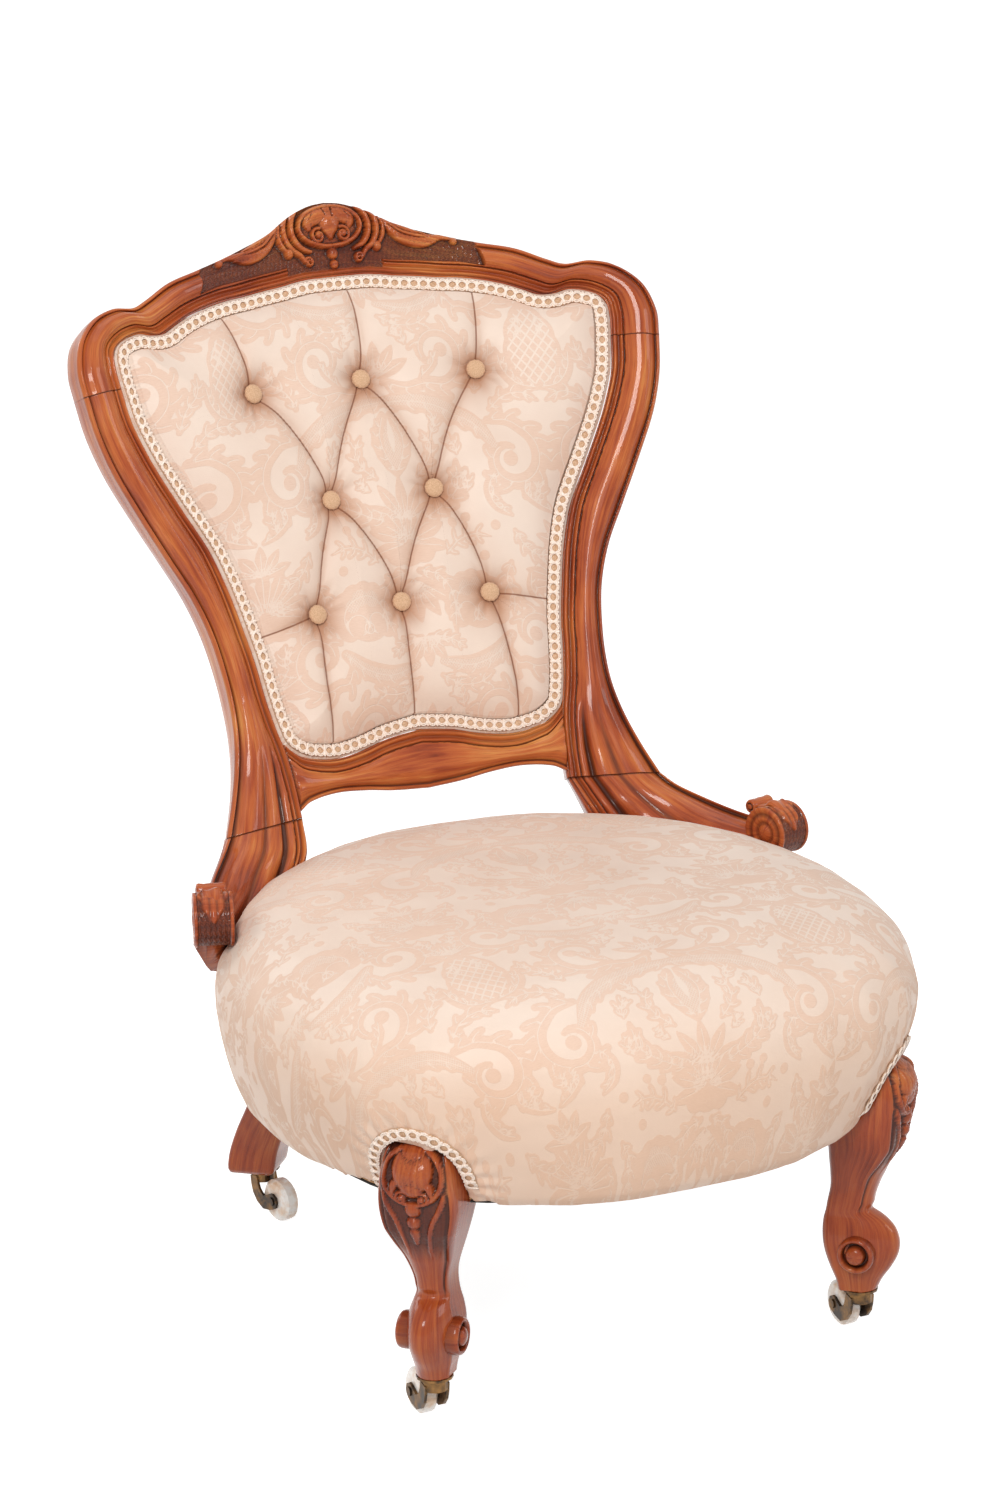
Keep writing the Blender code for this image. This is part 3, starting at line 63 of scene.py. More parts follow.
CREST_BACK_Y = (0.237 + BACK_RAKE * (TOTAL_HEIGHT - BACK_FOOT_Z)
                + CREST_BACK_SHARE * FRAME_T / math.hypot(1, BACK_RAKE))
DATUM_Y = -(SEAT_FRONT_Y + CREST_BACK_Y) / 2
BACK_FOOT_Y = 0.237 + DATUM_Y

ELBOW_REACH = 0.2865
ELBOW_END_Y = 0.046 + DATUM_Y
ELBOW_T = 0.022
KNUCKLE_R = 0.0240
KNUCKLE_W = 0.034
KNUCKLE_SPOT = Vector((0.2695, 0.0585 + DATUM_Y, 0.3620))

CASTOR_HEIGHT = 0.0440
FOOT_HALF = 0.198
FOOT_Y = -0.225 + DATUM_Y
LEG_TOP_Z = 0.2645
KNEE_REACH = 0.043
KNEE_W = 0.067
KNEE_TOP_Z = 0.260
ANKLE_W = 0.035
FOOT_W = 0.030
EYE_R = 0.016
EYE_PIN_R = 0.0085
EYE_REACH = 0.029
EYE_Z = 0.0815
EYE_OUT = 0.0026
KNEE_OVAL_Z = 0.2310
REAR_FOOT_HALF = 0.157
REAR_FOOT_Y = 0.268 + DATUM_Y
REAR_TOP_Y = 0.143 + DATUM_Y
REAR_FOOT_W = 0.045
REAR_TOP_W = 0.046
REAR_TURN = math.radians(40)

PAD_CROWN = 0.030
PAD_DIP = 0.019
PAD_SHOULDER = 0.022
PAD_DEPTH = 0.010
PAD_SLIT = 0.0015
PAD_EDGE = 0.0005
PAD_START = 0.003
REBATE_W = 0.0125
REBATE_DROP = 0.0015
BUTTON_R = 0.00875
BUTTON_H = 0.0055
BUTTONS = ((-0.1107, 0.7411), (0, 0.7411), (0.1107, 0.7411), (-0.0512, 0.6442), (0.0512, 0.6442),
           (-0.0857, 0.5530), (0, 0.5530), (0.0857, 0.5530))
OUTSIDE_T = 0.003
OUTSIDE_DEPTH = 0.024
OUTSIDE_DOME = 0.005
OUTSIDE_INSET = 0.0050
OUTSIDE_CELLS = 120
OUTSIDE_FLOWER_Z = 0.60
OUTSIDE_EASE = 1.01      # the dome takes this much more cloth than the opening's extent
GIMP_W = 0.011
GIMP_T = 0.0032
KNEE_GIMP_GAP = 0.0024
KNEE_GIMP_FOOT_Z = 0.190
GIMP_PITCH = 0.0090
CORD_R = 0.00068

# Station tables, in shares of the sizes that the part's source names for them
STILE_SHARES = (
    (0, 0.75, 0.462), (0.07, 0.708, 0.466), (0.15, 0.671, 0.48), (0.203, 0.656, 0.499),
    (0.286, 0.652, 0.52), (0.345, 0.659, 0.53), (0.433, 0.68, 0.554), (0.524, 0.724, 0.584),
    (0.612, 0.787, 0.625), (0.711, 0.857, 0.697), (0.845, 0.942, 0.789), (0.925, 0.974, 0.829),
    (1, 0.99, 0.846))
CREST_SHARES = (
    (0.99, 0, 0.846, 0), (0.995, 0.18, 0.854, 0.15), (0.97, 0.35, 0.845, 0.253),
    (0.914, 0.462, 0.802, 0.305), (0.83, 0.512, 0.735, 0.322), (0.742, 0.495, 0.664, 0.285),
    (0.696, 0.528, 0.616, 0.322), (0.612, 0.603, 0.543, 0.378), (0.486, 0.662, 0.418, 0.433),
    (0.396, 0.706, 0.339, 0.447), (0.311, 0.758, 0.268, 0.465), (0.223, 0.822, 0.196, 0.48),
    (0.129, 0.93, 0.118, 0.504), (0.045, 0.99, 0.039, 0.508), (0, 1, 0, 0.508))
RAIL_LOW_SHARES = ((0, 0), (0.264, 0.045), (0.469, 0.115), (0.717, 0.16), (0.866, 0.133),
                   (0.925, 0.105), (1, 0.018))
RAIL_TOP_SHARES = ((0, 0.867), (0.248, 0.796), (0.441, 0.69), (0.674, 0.655), (0.815, 0.725),
                   (0.904, 0.805), (1, 1.01))
ELBOW_SHARES = (
    (0.772, 0.1, 0.976, 0.476, 0.01, 0.944), (0.834, 0.3, 0.953, 0.521, 0.08, 0.885),
    (0.886, 0.5, 0.938, 0.582, 0.22, 0.838), (0.928, 0.69, 0.931, 0.665, 0.42, 0.81),
    (0.955, 0.86, 0.929, 0.763, 0.62, 0.802), (0.972, 1, 0.932, 0.868, 0.8, 0.81))
LEG_SHARES = (
    (0, 0.344, -0.356, -0.15), (0.05, 0.47, -0.409, -0.08), (0.1, 0.64, -0.5, 0.02),
    (0.165, 0.79, -0.6, 0.08), (0.225, 0.79, -0.652, 0.08), (0.275, 0.66, -0.664, 0),
    (0.308, 0.455, -0.652, -0.1), (0.325, 0.288, -0.63, -0.12), (0.37, 0.288, -0.59, -0.1),
    (0.445, 0.39, -0.51, 0.06), (0.505, 0.53, -0.492, 0.27), (0.57, 0.72, -0.49, 0.54),
    (0.64, 0.87, -0.489, 0.82), (0.71, 0.93, -0.54, 1), (0.8, 0.96, -0.57, 0.98),
    (0.88, 0.92, -0.57, 0.84), (0.95, 0.78, -0.57, 0.6), (1, 0.48, -0.57, 0.3))
REAR_LEG_SHARES = (
    (0, 1, 0), (0.1, 0.99, 0.044), (0.2, 0.975, 0.132), (0.35, 0.949, 0.304),
    (0.5, 0.936, 0.472), (0.65, 0.93, 0.624), (0.8, 0.936, 0.8), (1, 0.955, 1))
# the back's moulding: share of its own width, height of FRAME_RELIEF. The outer bead and the
# inner cove and bead keep their width, and the broad moulding between them stretches. Where a
# member is wider than TWIN_FROM, it splits into the two mouldings of TWIN_SHARES.
TWIN_FROM = 0.05
TWIN_BLEND = 0.022
MOULD_OUTER_W = 0.004
MOULD_INNER_W = 0.0125
OUTER_BEAD_SHARES = ((0, -0.62), (0.1, -0.3), (0.28, -0.05), (0.55, 0.04), (0.78, -0.08),
                     (0.9, -0.42), (1, -0.5))
BROAD_SHARES = ((0, -0.5), (0.045, -0.22), (0.1, 0.15), (0.2, 0.62), (0.33, 0.94), (0.47, 1.05),
                (0.62, 1), (0.76, 0.82), (0.88, 0.52), (0.96, 0.28), (1, 0.2))
TWIN_SHARES = ((0, -0.55), (0.03, -0.38), (0.07, 0), (0.14, 0.52), (0.24, 0.92), (0.34, 1),
               (0.42, 0.86), (0.47, 0.62), (0.5, 0.44), (0.53, 0.46), (0.58, 0.62), (0.65, 0.7),
               (0.72, 0.6), (0.78, 0.3), (0.82, -0.25), (0.85, -0.62), (0.88, -0.35), (0.92, 0.14),
               (0.96, 0.28), (1, 0.14))
INNER_BEAD_SHARES = ((0, -0.05), (0.05, -0.26), (0.1, -0.1), (0.16, 0.22), (0.22, 0.26),
                     (0.29, 0.05), (0.38, -0.28), (0.48, -0.36), (0.55, -0.24), (0.62, 0.02),
                     (0.7, 0.22), (0.77, 0.18), (0.83, -0.06), (0.87, -0.4), (1, -0.4))
SIDE_SHARES = ((1, 0.95), (0.86, 1), (0.33, 1), (0.19, 0.82), (0.08, 0.48), (0.015, 0.15))

ROW_FRAME = "chair_frame"
MM = 0.001


# Small helpers
def linear(channel):
    return channel / 12.92 if channel <= 0.04045 else ((channel + 0.055) / 1.055) ** 2.4


def colour(hex_colour):
    """A linear colour from its sRGB hex."""
    return tuple(linear(int(hex_colour[i:i + 2], 16) / 255) for i in (0, 2, 4)) + (1.0,)


def flow(table, at):
    """Smooth readings, at an array of places, of a table whose first column is the place."""
    rows = np.array(table, float)
    key = rows[:, 0]
    at = np.clip(np.asarray(at, float), key[0], key[-1])
    i = np.clip(np.searchsorted(key, at, side="right") - 1, 0, len(key) - 2)
    slopes = np.gradient(rows[:, 1:], key, axis=0)
    span = (key[i + 1] - key[i])[..., None]
    t = (at - key[i])[..., None] / span
    a, b = rows[i, 1:], rows[i + 1, 1:]
    u, v = slopes[i] * span, slopes[i + 1] * span
    return ((2 * t**3 - 3 * t**2 + 1) * a + (t**3 - 2 * t**2 + t) * u
            + (3 * t**2 - 2 * t**3) * b + (t**3 - t**2) * v)


def run_along(points):
    """The way run at each point of a line."""
    return np.concatenate([[0], np.cumsum(np.linalg.norm(np.diff(points, axis=0), axis=1))])


def smooth_line(points, count, closed=False):
    """count points at even steps along a smooth curve through the given ones."""
    pts = np.array(points, float)
    if closed:
        pts = np.vstack([pts[-2:], pts, pts[:3]])
    key = run_along(pts)
    start, end = (key[2], key[-3]) if closed else (key[0], key[-1])
    fine = flow(np.column_stack([key, pts]), np.linspace(start, end, max(count * 4, 400)))
    run = run_along(fine)
    marks = np.linspace(0, run[-1], count + 1)[:-1] if closed else np.linspace(0, run[-1], count)
    return np.column_stack([np.interp(marks, run, fine[:, k]) for k in range(fine.shape[1])])


def softened(field, rounds, cross=True):
    """A field smoothed along its rows and, with cross, down its columns."""
    soft = field.copy()
    for _ in range(rounds):
        soft[:, 1:-1] = (soft[:, :-2] + soft[:, 1:-1] + soft[:, 2:]) / 3
        if cross:
            soft[1:-1] = (soft[:-2] + soft[1:-1] + soft[2:]) / 3
    return soft


def unit(vectors):
    return vectors / np.linalg.norm(vectors, axis=-1, keepdims=True)


def back_y(x, z):
    return BACK_FOOT_Y + BACK_RAKE * (z - BACK_FOOT_Z) - x * x / (2 * BACK_HOLLOW_R)


def back_normal(x):
    x = np.asarray(x, float)
    return unit(np.stack([-x / BACK_HOLLOW_R, -np.ones_like(x), BACK_RAKE * np.ones_like(x)], -1))


def on_back(x, z, lift=0.0):
    x, z = np.broadcast_arrays(np.asarray(x, float), np.asarray(z, float))
    base = np.stack([x, back_y(x, z), z], -1)
    return base + back_normal(x) * np.asarray(lift, float)[..., None]


def deselect():
    bpy.ops.object.select_all(action="DESELECT")


def read_points(mesh, kind="co"):
    values = np.zeros(len(mesh.vertices) * 3)
    mesh.vertices.foreach_get(kind, values)
    return values.reshape(-1, 3)


def select(*pieces):
    deselect()
    for item in pieces:
        item.select_set(True)
    bpy.context.view_layer.objects.active = pieces[0]


def link(name, mesh, material):
    mesh.materials.append(material)
    made = bpy.data.objects.new(name, mesh)
    bpy.context.scene.collection.objects.link(made)
    mesh.shade_smooth()
    return made


def face_outward(mesh):
    shape = bmesh.new()
    shape.from_mesh(mesh)
    bmesh.ops.recalc_face_normals(shape, faces=shape.faces)
    shape.to_mesh(mesh)
    shape.free()


def skin(name, rings, material, closed=False, hollow=None):
    """A lofted body through rings of as many points, with its grain's UVs and its hollows darkened by old
    wax and painted shade.
    """
    rings = np.asarray(rings, float)
    n, m = rings.shape[:2]
    rows = n if closed else n - 1
    a = (np.arange(rows)[:, None] * m + np.arange(m)[None, :])
    b = (np.arange(rows)[:, None] * m + (np.arange(m)[None, :] + 1) % m)
    c = ((np.arange(rows)[:, None] + 1) % n) * m + (np.arange(m)[None, :] + 1) % m
    d = ((np.arange(rows)[:, None] + 1) % n) * m + np.arange(m)[None, :]
    quads = np.stack([a, b, c, d], -1).reshape(-1, 4)
    faces = quads.tolist()
    if not closed:
        faces += [list(range(m))[::-1], list(range((n - 1) * m, n * m))]
    mesh = bpy.data.meshes.new(name)
    mesh.from_pydata(rings.reshape(-1, 3).tolist(), [], faces)
    around = np.linalg.norm(np.roll(rings, -1, axis=1) - rings, axis=2).mean(axis=0)
    v = np.concatenate([[0], np.cumsum(around)])
    u = run_along(rings.mean(axis=1))
    u = np.append(u, u[-1] + (u[-1] - u[-2]))
    i, j = np.meshgrid(np.arange(rows), np.arange(m), indexing="ij")
    loops = np.stack([np.stack([u[i], v[j]], -1), np.stack([u[i], v[j + 1]], -1),
                      np.stack([u[i + 1], v[j + 1]], -1), np.stack([u[i + 1], v[j]], -1)], -2)
    flat = loops.reshape(-1, 2)
    layer = mesh.uv_layers.new(name="grain")
    total = len(mesh.loops)
    data = np.zeros((total, 2))
    data[:len(flat)] = flat
    data[len(flat):] = np.array([[mesh.vertices[loop.vertex_index].co.x,
                                  mesh.vertices[loop.vertex_index].co.z]
                                 for loop in list(mesh.loops)[len(flat):]]).reshape(-1, 2)
    layer.data.foreach_set("uv", data.ravel())
    mark = mesh.attributes.new("hollow", "FLOAT", "POINT")
    mark.data.foreach_set("value", np.zeros(n * m) if hollow is None
                          else np.asarray(hollow, float).ravel())
    face_outward(mesh)
    return link(name, mesh, material)


def tube(name, path, radius, material, sides=6, closed=False):
    """A round cord along a path of points."""
    path = np.asarray(path, float)
    if closed:
        ahead = unit(np.roll(path, -1, axis=0) - np.roll(path, 1, axis=0))
    else:
        ahead = unit(np.gradient(path, axis=0))
    side = np.zeros_like(ahead)
    start = np.cross(ahead[0], (0.31, 0.57, 0.76))
    side[0] = start / np.linalg.norm(start)
    for k in range(1, len(path)):
        moved = side[k - 1] - ahead[k] * np.dot(side[k - 1], ahead[k])
        side[k] = moved / np.linalg.norm(moved)
    other = np.cross(ahead, side)
    angles = np.linspace(0, 2 * math.pi, sides, endpoint=False)
    radius = np.broadcast_to(np.asarray(radius, float), (len(path),))
    rings = (path[:, None] + radius[:, None, None]
             * (side[:, None] * np.cos(angles)[None, :, None]
                + other[:, None] * np.sin(angles)[None, :, None]))
    return skin(name, rings, material, closed=closed)


def solid_copy(node, name, material):
    """A copy of a CAD solid in its place, with a finish of its own."""
    made = bpy.data.objects.new(name, NODES[node].data.copy())
    bpy.context.scene.collection.objects.link(made)
    made.matrix_world = NODES[node].matrix_world.copy()
    made.data.materials.clear()
    made.data.materials.append(material)
    select(made)
    bpy.ops.object.transform_apply(location=True, rotation=True, scale=True)
    return made


def join(name, pieces):
    select(*pieces)
    bpy.ops.object.join()
    made = bpy.context.view_layer.objects.active
    made.name = name
    made.data.name = name
    return made


def dress(made, node):
    """Rides on the chair's body and stands for the CAD node."""
    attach(made, ROW_FRAME)
    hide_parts(node)
    return made


# Materials
def new_material(name):
    made = bpy.data.materials.new(name)
    made.use_nodes = True
    return made, made.node_tree, made.node_tree.nodes["Principled BSDF"]


def feed(tree, node, values):
    """Gives a node's sockets their links or plain values."""
    for key, value in values.items():
        if isinstance(value, bpy.types.NodeSocket):
            tree.links.new(value, node.inputs[key])
        else:
            node.inputs[key].default_value = value
    return node


def add(tree, kind, values=None, **settings):
    """One shader node, with its settings and what its sockets take."""
    made = tree.nodes.new(kind)
    for key, value in settings.items():
        setattr(made, key, value)
    return feed(tree, made, values or {})


def ramp(tree, source, *stops):
    made = add(tree, "ShaderNodeValToRGB", {"Fac": source})
    line = made.color_ramp.elements
    while len(line) < len(stops):
        line.new(0.5)
    for element, (place, hex_colour) in zip(line, stops):
        element.position = place
        element.color = colour(hex_colour)
    return made.outputs["Color"]


def mix(tree, share, one, two):
    return add(tree, "ShaderNodeMix", {"Factor": share, 6: one, 7: two}, data_type="RGBA").outputs[2]


def span(tree, source, low, high, to_low=0.0, to_high=1.0, smooth=False):
    return add(tree, "ShaderNodeMapRange", {"Value": source, 1: low, 2: high, 3: to_low, 4: to_high},
               interpolation_type="SMOOTHSTEP" if smooth else "LINEAR").outputs["Result"]


def tinted(tree, base, hex_colour, source, *reach, **way):
    """The base with a colour laid over it where the source runs through its reach."""
    return mix(tree, span(tree, source, *reach, **way), base, colour(hex_colour))


def maths(tree, kind, first, *others):
    """One operation over a row of values, or over one value."""
    for other in others or (0,):
        first = add(tree, "ShaderNodeMath", {0: first, 1: other}, operation=kind).outputs[0]
    return first


def places(tree):
    """The piece's own coordinates, and their height alone."""
    spot = add(tree, "ShaderNodeTexCoord").outputs["Object"]
    return spot, add(tree, "ShaderNodeSeparateXYZ", {"Vector": spot}).outputs["Z"]


def stretched(tree, place, across, down):
    return add(tree, "ShaderNodeMapping", {"Vector": place, "Scale": (across, down, 1)}).outputs[0]


def noise(tree, place, scale=1.0, **values):
    return add(tree, "ShaderNodeTexNoise", {"Vector": place, "Scale": scale, **values}).outputs[0]


def attribute(tree, name):
    return add(tree, "ShaderNodeAttribute", attribute_name=name).outputs["Fac"]


def bumped(tree, height, strength, distance):
    return add(tree, "ShaderNodeBump", {"Height": height, "Strength": strength,
                                        "Distance": distance}).outputs["Normal"]


def polished_walnut():
    """French polish over streaked red-brown walnut, its hollows dark with old wax and painted shade."""
    made, tree, shader = new_material("french_polished_walnut")
    grain = add(tree, "ShaderNodeUVMap", uv_map="grain").outputs["UV"]
    spot, height = places(tree)
    streak = noise(tree, stretched(tree, grain, 13, 230), Detail=5.0, Roughness=0.62, Distortion=0.5)
    cloud = noise(tree, spot, 9.0, Detail=3.0)
    pore = noise(tree, stretched(tree, grain, 45, 1500), Detail=3.0)
    tone = maths(tree, "ADD", maths(tree, "MULTIPLY", streak, 0.50), maths(tree, "MULTIPLY", cloud, 0.54))
    wood = ramp(tree, tone, (0.35, "6E2A14"), (0.46, "A04824"), (0.56, "BA6230"), (0.68, "D08848"))
    wood = tinted(tree, wood, "63280F", pore, 0.54, 0.72, 0.0, 0.42)
    # painted shade: the wood is darker and redder low down, on the legs
    wood = tinted(tree, wood, "7A2812", height, 0.20, 0.34, 0.30, 0.0)
    hollow = attribute(tree, "hollow")
    # painted shade, with some old wax: the wood darkens in the grooves, sunk grounds and carved hollows
    # marked for it
    wood = tinted(tree, wood, "32120A", hollow, 0.0, 1.0, 0.0, 0.92)
    rough = maths(tree, "ADD", span(tree, cloud, 0.3, 0.7, 0.24, 0.38),
                  maths(tree, "MULTIPLY", hollow, 0.30))
    feed(tree, shader, {"Base Color": wood, "Roughness": rough, "Normal": bumped(tree, pore, 0.25, 0.0004),
                        "Specular IOR Level": 0.10, "IOR": 1.5, "Coat Weight": 0.36, "Coat Roughness": 0.05})
    return made


def silk_damask(name):
    """Ivory satin ground with a matte peach figure, its ivory veins and nets, and painted shade in its
    pleats and round its buttons.
    """
    made, tree, shader = new_material(name)
    cloth = add(tree, "ShaderNodeUVMap", uv_map="cloth").outputs["UV"]
    spot, height = places(tree)
    figure, vein, near, net, fruit, shade, pleat = (
        attribute(tree, word) for word in ("figure", "vein", "near", "net", "fruit", "shade", "pleat"))
    axes = add(tree, "ShaderNodeSeparateXYZ", {"Vector": cloth}).outputs
    slope = maths(tree, "MULTIPLY", axes["Y"], 0.8)
    ways = maths(tree, "ADD", axes["X"], slope), maths(tree, "SUBTRACT", axes["X"], slope)

    def lattice(pitch, low, high, area):
        """Crossed diagonal lines with the given pitch, kept to an area."""
        waves = [maths(tree, "ABSOLUTE", maths(tree, "SINE", maths(tree, "MULTIPLY", way, math.pi / pitch)))
                 for way in ways]
        lines = span(tree, maths(tree, "MINIMUM", *waves), high, low)
        return maths(tree, "MULTIPLY", lines, span(tree, area, -0.0003, 0.0003, smooth=True))

    veins = maths(tree, "MULTIPLY", span(tree, maths(tree, "ABSOLUTE", vein), 0.00062, 0.00030),
                  span(tree, near, 0.0019, 0.0013))
    pale = maths(tree, "MAXIMUM", veins, lattice(0.0026, 0.25, 0.50, net),
                 lattice(0.0092, 0.30, 0.42, fruit))
    inside = maths(tree, "MULTIPLY", span(tree, figure, -0.0004, 0.0001, smooth=True),
                   maths(tree, "SUBTRACT", 1.0, pale))
    worn = span(tree, noise(tree, spot, 14.0, Detail=4.0), 0.35, 0.7)
    slubs = noise(tree, stretched(tree, cloth, 160, 1500), Detail=3.0)
    ground = mix(tree, worn, colour("E8D5C6"), colour("E2CCBC"))
    peach = mix(tree, worn, colour("E6CBB9"), colour("E0C2AE"))
    peach = tinted(tree, peach, "D6B39C", slubs, 0.40, 0.70, 0.0, 0.40)
    cover = mix(tree, inside, ground, peach)
    # painted shade round the buttons' wells and along the pleats
    cover = tinted(tree, cover, "A9714C", shade, 0.0, 1.0, 0.0, 0.80)
    # painted shade: the cloth is tanner low down, on the seat's sides and front
    cover = tinted(tree, cover, "DDAE88", height, 0.360, 0.290, 0.0, 0.36)
    # painted shade: a thin dark line down each pleat's crease
    cover = tinted(tree, cover, "7E4B30", maths(tree, "ABSOLUTE", pleat), 0.0003, 0.0012, 0.85, 0.0,
                   smooth=True)
    threads = maths(tree, "MULTIPLY", noise(tree, stretched(tree, cloth, 1700, 1700), Detail=1.0), 0.4)
    weave = maths(tree, "ADD", threads, inside, maths(tree, "MULTIPLY", slubs, 0.8))
    feed(tree, shader, {"Base Color": cover, "Roughness": span(tree, inside, 0, 1, 0.46, 0.78),
                        "Normal": bumped(tree, weave, 0.45, 0.0004), "Specular IOR Level": 0.35,
                        "Sheen Weight": 0.10, "Sheen Roughness": 0.4})
    return made


def plain_finish(name, hex_colour, worn, roughness, metallic=0.0, scale=60.0, depth=0.0):
    """One finish with a second, worn colour in patches and a fine bump."""
    made, tree, shader = new_material(name)
    wear = noise(tree, places(tree)[0], scale, Detail=5.0, Roughness=0.6)
    feed(tree, shader, {"Base Color": tinted(tree, colour(hex_colour), worn, wear, 0.42, 0.66),
                        "Roughness": span(tree, wear, 0.3, 0.7, roughness * 0.8, min(roughness * 1.25, 1)),
                        "Metallic": metallic})
    if depth:
        feed(tree, shader, {"Normal": bumped(tree, wear, 0.5, depth)})
    return made


def woven_finish(name, light, dark, pitch):
    """Cord or plain cloth: fine ribs of light thread with darker gaps."""
    made, tree, shader = new_material(name)
    ribs = noise(tree, places(tree)[0], 1 / pitch, Detail=2.0)
    feed(tree, shader, {"Base Color": tinted(tree, colour(dark), light, ribs, 0.35, 0.62), "Roughness": 0.82,
                        "Normal": bumped(tree, ribs, 0.5, 0.0003), "Sheen Weight": 0.15})
    return made


WALNUT = polished_walnut()
DAMASK = silk_damask("ivory_silk_damask")
# gimp: pale, softly ribbed cords on a darker bed, whose colour is painted shade between the loops, so the
# loops stand out against the wood
GIMP_CORD = woven_finish("ivory_gimp_cord", "FCF0E6", "EAD5C2", 0.0009)
GIMP_SHADE_BED = woven_finish("gimp_backing", "DDB999", "C39C7A", 0.0012)
# the buttons: a plain cloth a shade browner than the damask
BUTTON_CLOTH = woven_finish("tan_button_cloth", "D9B391", "C49C78", 0.0009)
# the cloths that hardly show: black under the seat, grey-brown linen inside
LINING = woven_finish("black_lining", "34302C", "1C1917", 0.0012)
LINEN = woven_finish("natural_linen", "B09C7E", "8C7858", 0.0015)
# the seat's rails: dry, pale wood with browner patches
BEECH = plain_finish("raw_beech", "C29466", "AF7E50", 0.6, scale=35)
# castor brass: nearly black with age, yellow where it is rubbed, slightly pitted
BRASS = plain_finish("worn_dark_brass", "3A3129", "8C683F", 0.42, 0.85, scale=70, depth=0.0002)
# springs: coppery wire, duller in patches
STEEL = plain_finish("copper_washed_steel", "9A6A48", "7C5238", 0.4, 0.9)
# castor wheels: glossy white glaze with tan crazing
CERAMIC = plain_finish("white_ceramic", "FFFAF4", "E9C8A8", 0.16, scale=75)


# Carving: heights over the face from tapered strokes
def stroke(*rows, count=40, shape="round"):
    """A carved form along a curve through rows of (place, place, half width, height), in mm."""
    pts = np.array(rows, float) * MM
    key = run_along(pts[:, :2])
    return flow(np.column_stack([key, pts]), np.linspace(0, key[-1], count)), shape


def volute(x, z, r, turns, w, h, start, way=1, count=60):
    """A spiral band that winds in to an eye, with its sizes in mm."""
    x, z, r, w, h = np.array((x, z, r, w, h)) * MM
    t = np.linspace(0, 1, count)
    angle = start + way * 2 * math.pi * turns * t
    reach = r * (1 - 0.82 * t)
    return np.stack([x + reach * np.cos(angle), z + reach * np.sin(angle),
                     w * (1 - 0.45 * t), h * (1 + 0.25 * t)], -1), "round"


def bead(x, z, r, h):
    """A round knob, with its sizes in mm."""
    return np.array([[x, z, r, h]]) * MM, "round"


def oval_rim(turn, z, a, b, w, h):
    """A round rim along an oval on the middle line."""
    band = np.ones(len(turn))
    return np.stack([a * np.cos(turn), z + b * np.sin(turn), w * band, h * band], -1), "round"


def carve(a, b, form, shape):
    """Height of one stroke at every point (a, b)."""
    height = np.zeros(a.shape)
    low, high = (form[:, :2] - form[:, 2:3]).min(axis=0), (form[:, :2] + form[:, 2:3]).max(axis=0)
    near = (a > low[0]) & (a < high[0]) & (b > low[1]) & (b < high[1])
    pa, pb = a[near], b[near]
    if not pa.size:
        return height
    d = np.full(pa.shape, np.inf)
    tall = np.zeros(pa.shape)
    for x, z, w, h in form:
        here = np.hypot(pa - x, pb - z) / w
        closer = here < d
        d = np.where(closer, here, d)
        tall = np.where(closer, h, tall)
    d = np.clip(d, 0, 1)
    if shape == "round":
        rise = np.sqrt(np.clip(1 - d**2, 0, 1))
    else:
        rise = np.clip((1 - d) / 0.35, 0, 1) ** 0.6 * (0.72 + 0.28 * (1 - d))
    height[near] = tall * rise
    return height


def both(forms):
    """Strokes and their mirror images."""
    made = []
    for form, shape in forms:
        other = form.copy()
        other[:, 0] *= -1
        made += [(form, shape), (other, shape)]
    return made


def relief(a, b, forms):
    total = np.zeros(a.shape)
    for form, shape in forms:
        total = np.maximum(total, carve(a, b, form, shape))
    return total


# The moulded section of the back's members
def moulding(from_outer, from_inner):
    """Height of the moulding in shares of the relief, from the distances to both edges."""
    width = from_outer + from_inner
    inner_w = np.minimum(MOULD_INNER_W, width * 0.42)
    outer_w = np.minimum(MOULD_OUTER_W, width * 0.14)
    broad = np.maximum(width - inner_w - outer_w, 1e-6)
    first = np.interp(from_outer / outer_w, *np.array(OUTER_BEAD_SHARES).T)
    place = (from_outer - outer_w) / broad
    twin = np.clip((width - TWIN_FROM) / TWIN_BLEND, 0, 1)
    second = (np.interp(place, *np.array(BROAD_SHARES).T) * (1 - twin)
              + np.interp(place, *np.array(TWIN_SHARES).T) * twin)
    third = np.interp(1 - from_inner / inner_w, *np.array(INNER_BEAD_SHARES).T)
    return np.where(from_outer < outer_w, first, np.where(from_inner < inner_w, third, second))


def across_places(width, fine=1):
    """Places across a member where its moulding is sampled, close together on the beads."""
    outer = np.linspace(0, MOULD_OUTER_W, 8 * fine)
    broad = np.linspace(MOULD_OUTER_W, width - MOULD_INNER_W, 44 * fine)[1:]
    inner = np.linspace(width - MOULD_INNER_W, width, 28 * fine)[1:]
    return np.concatenate([outer, broad, inner])


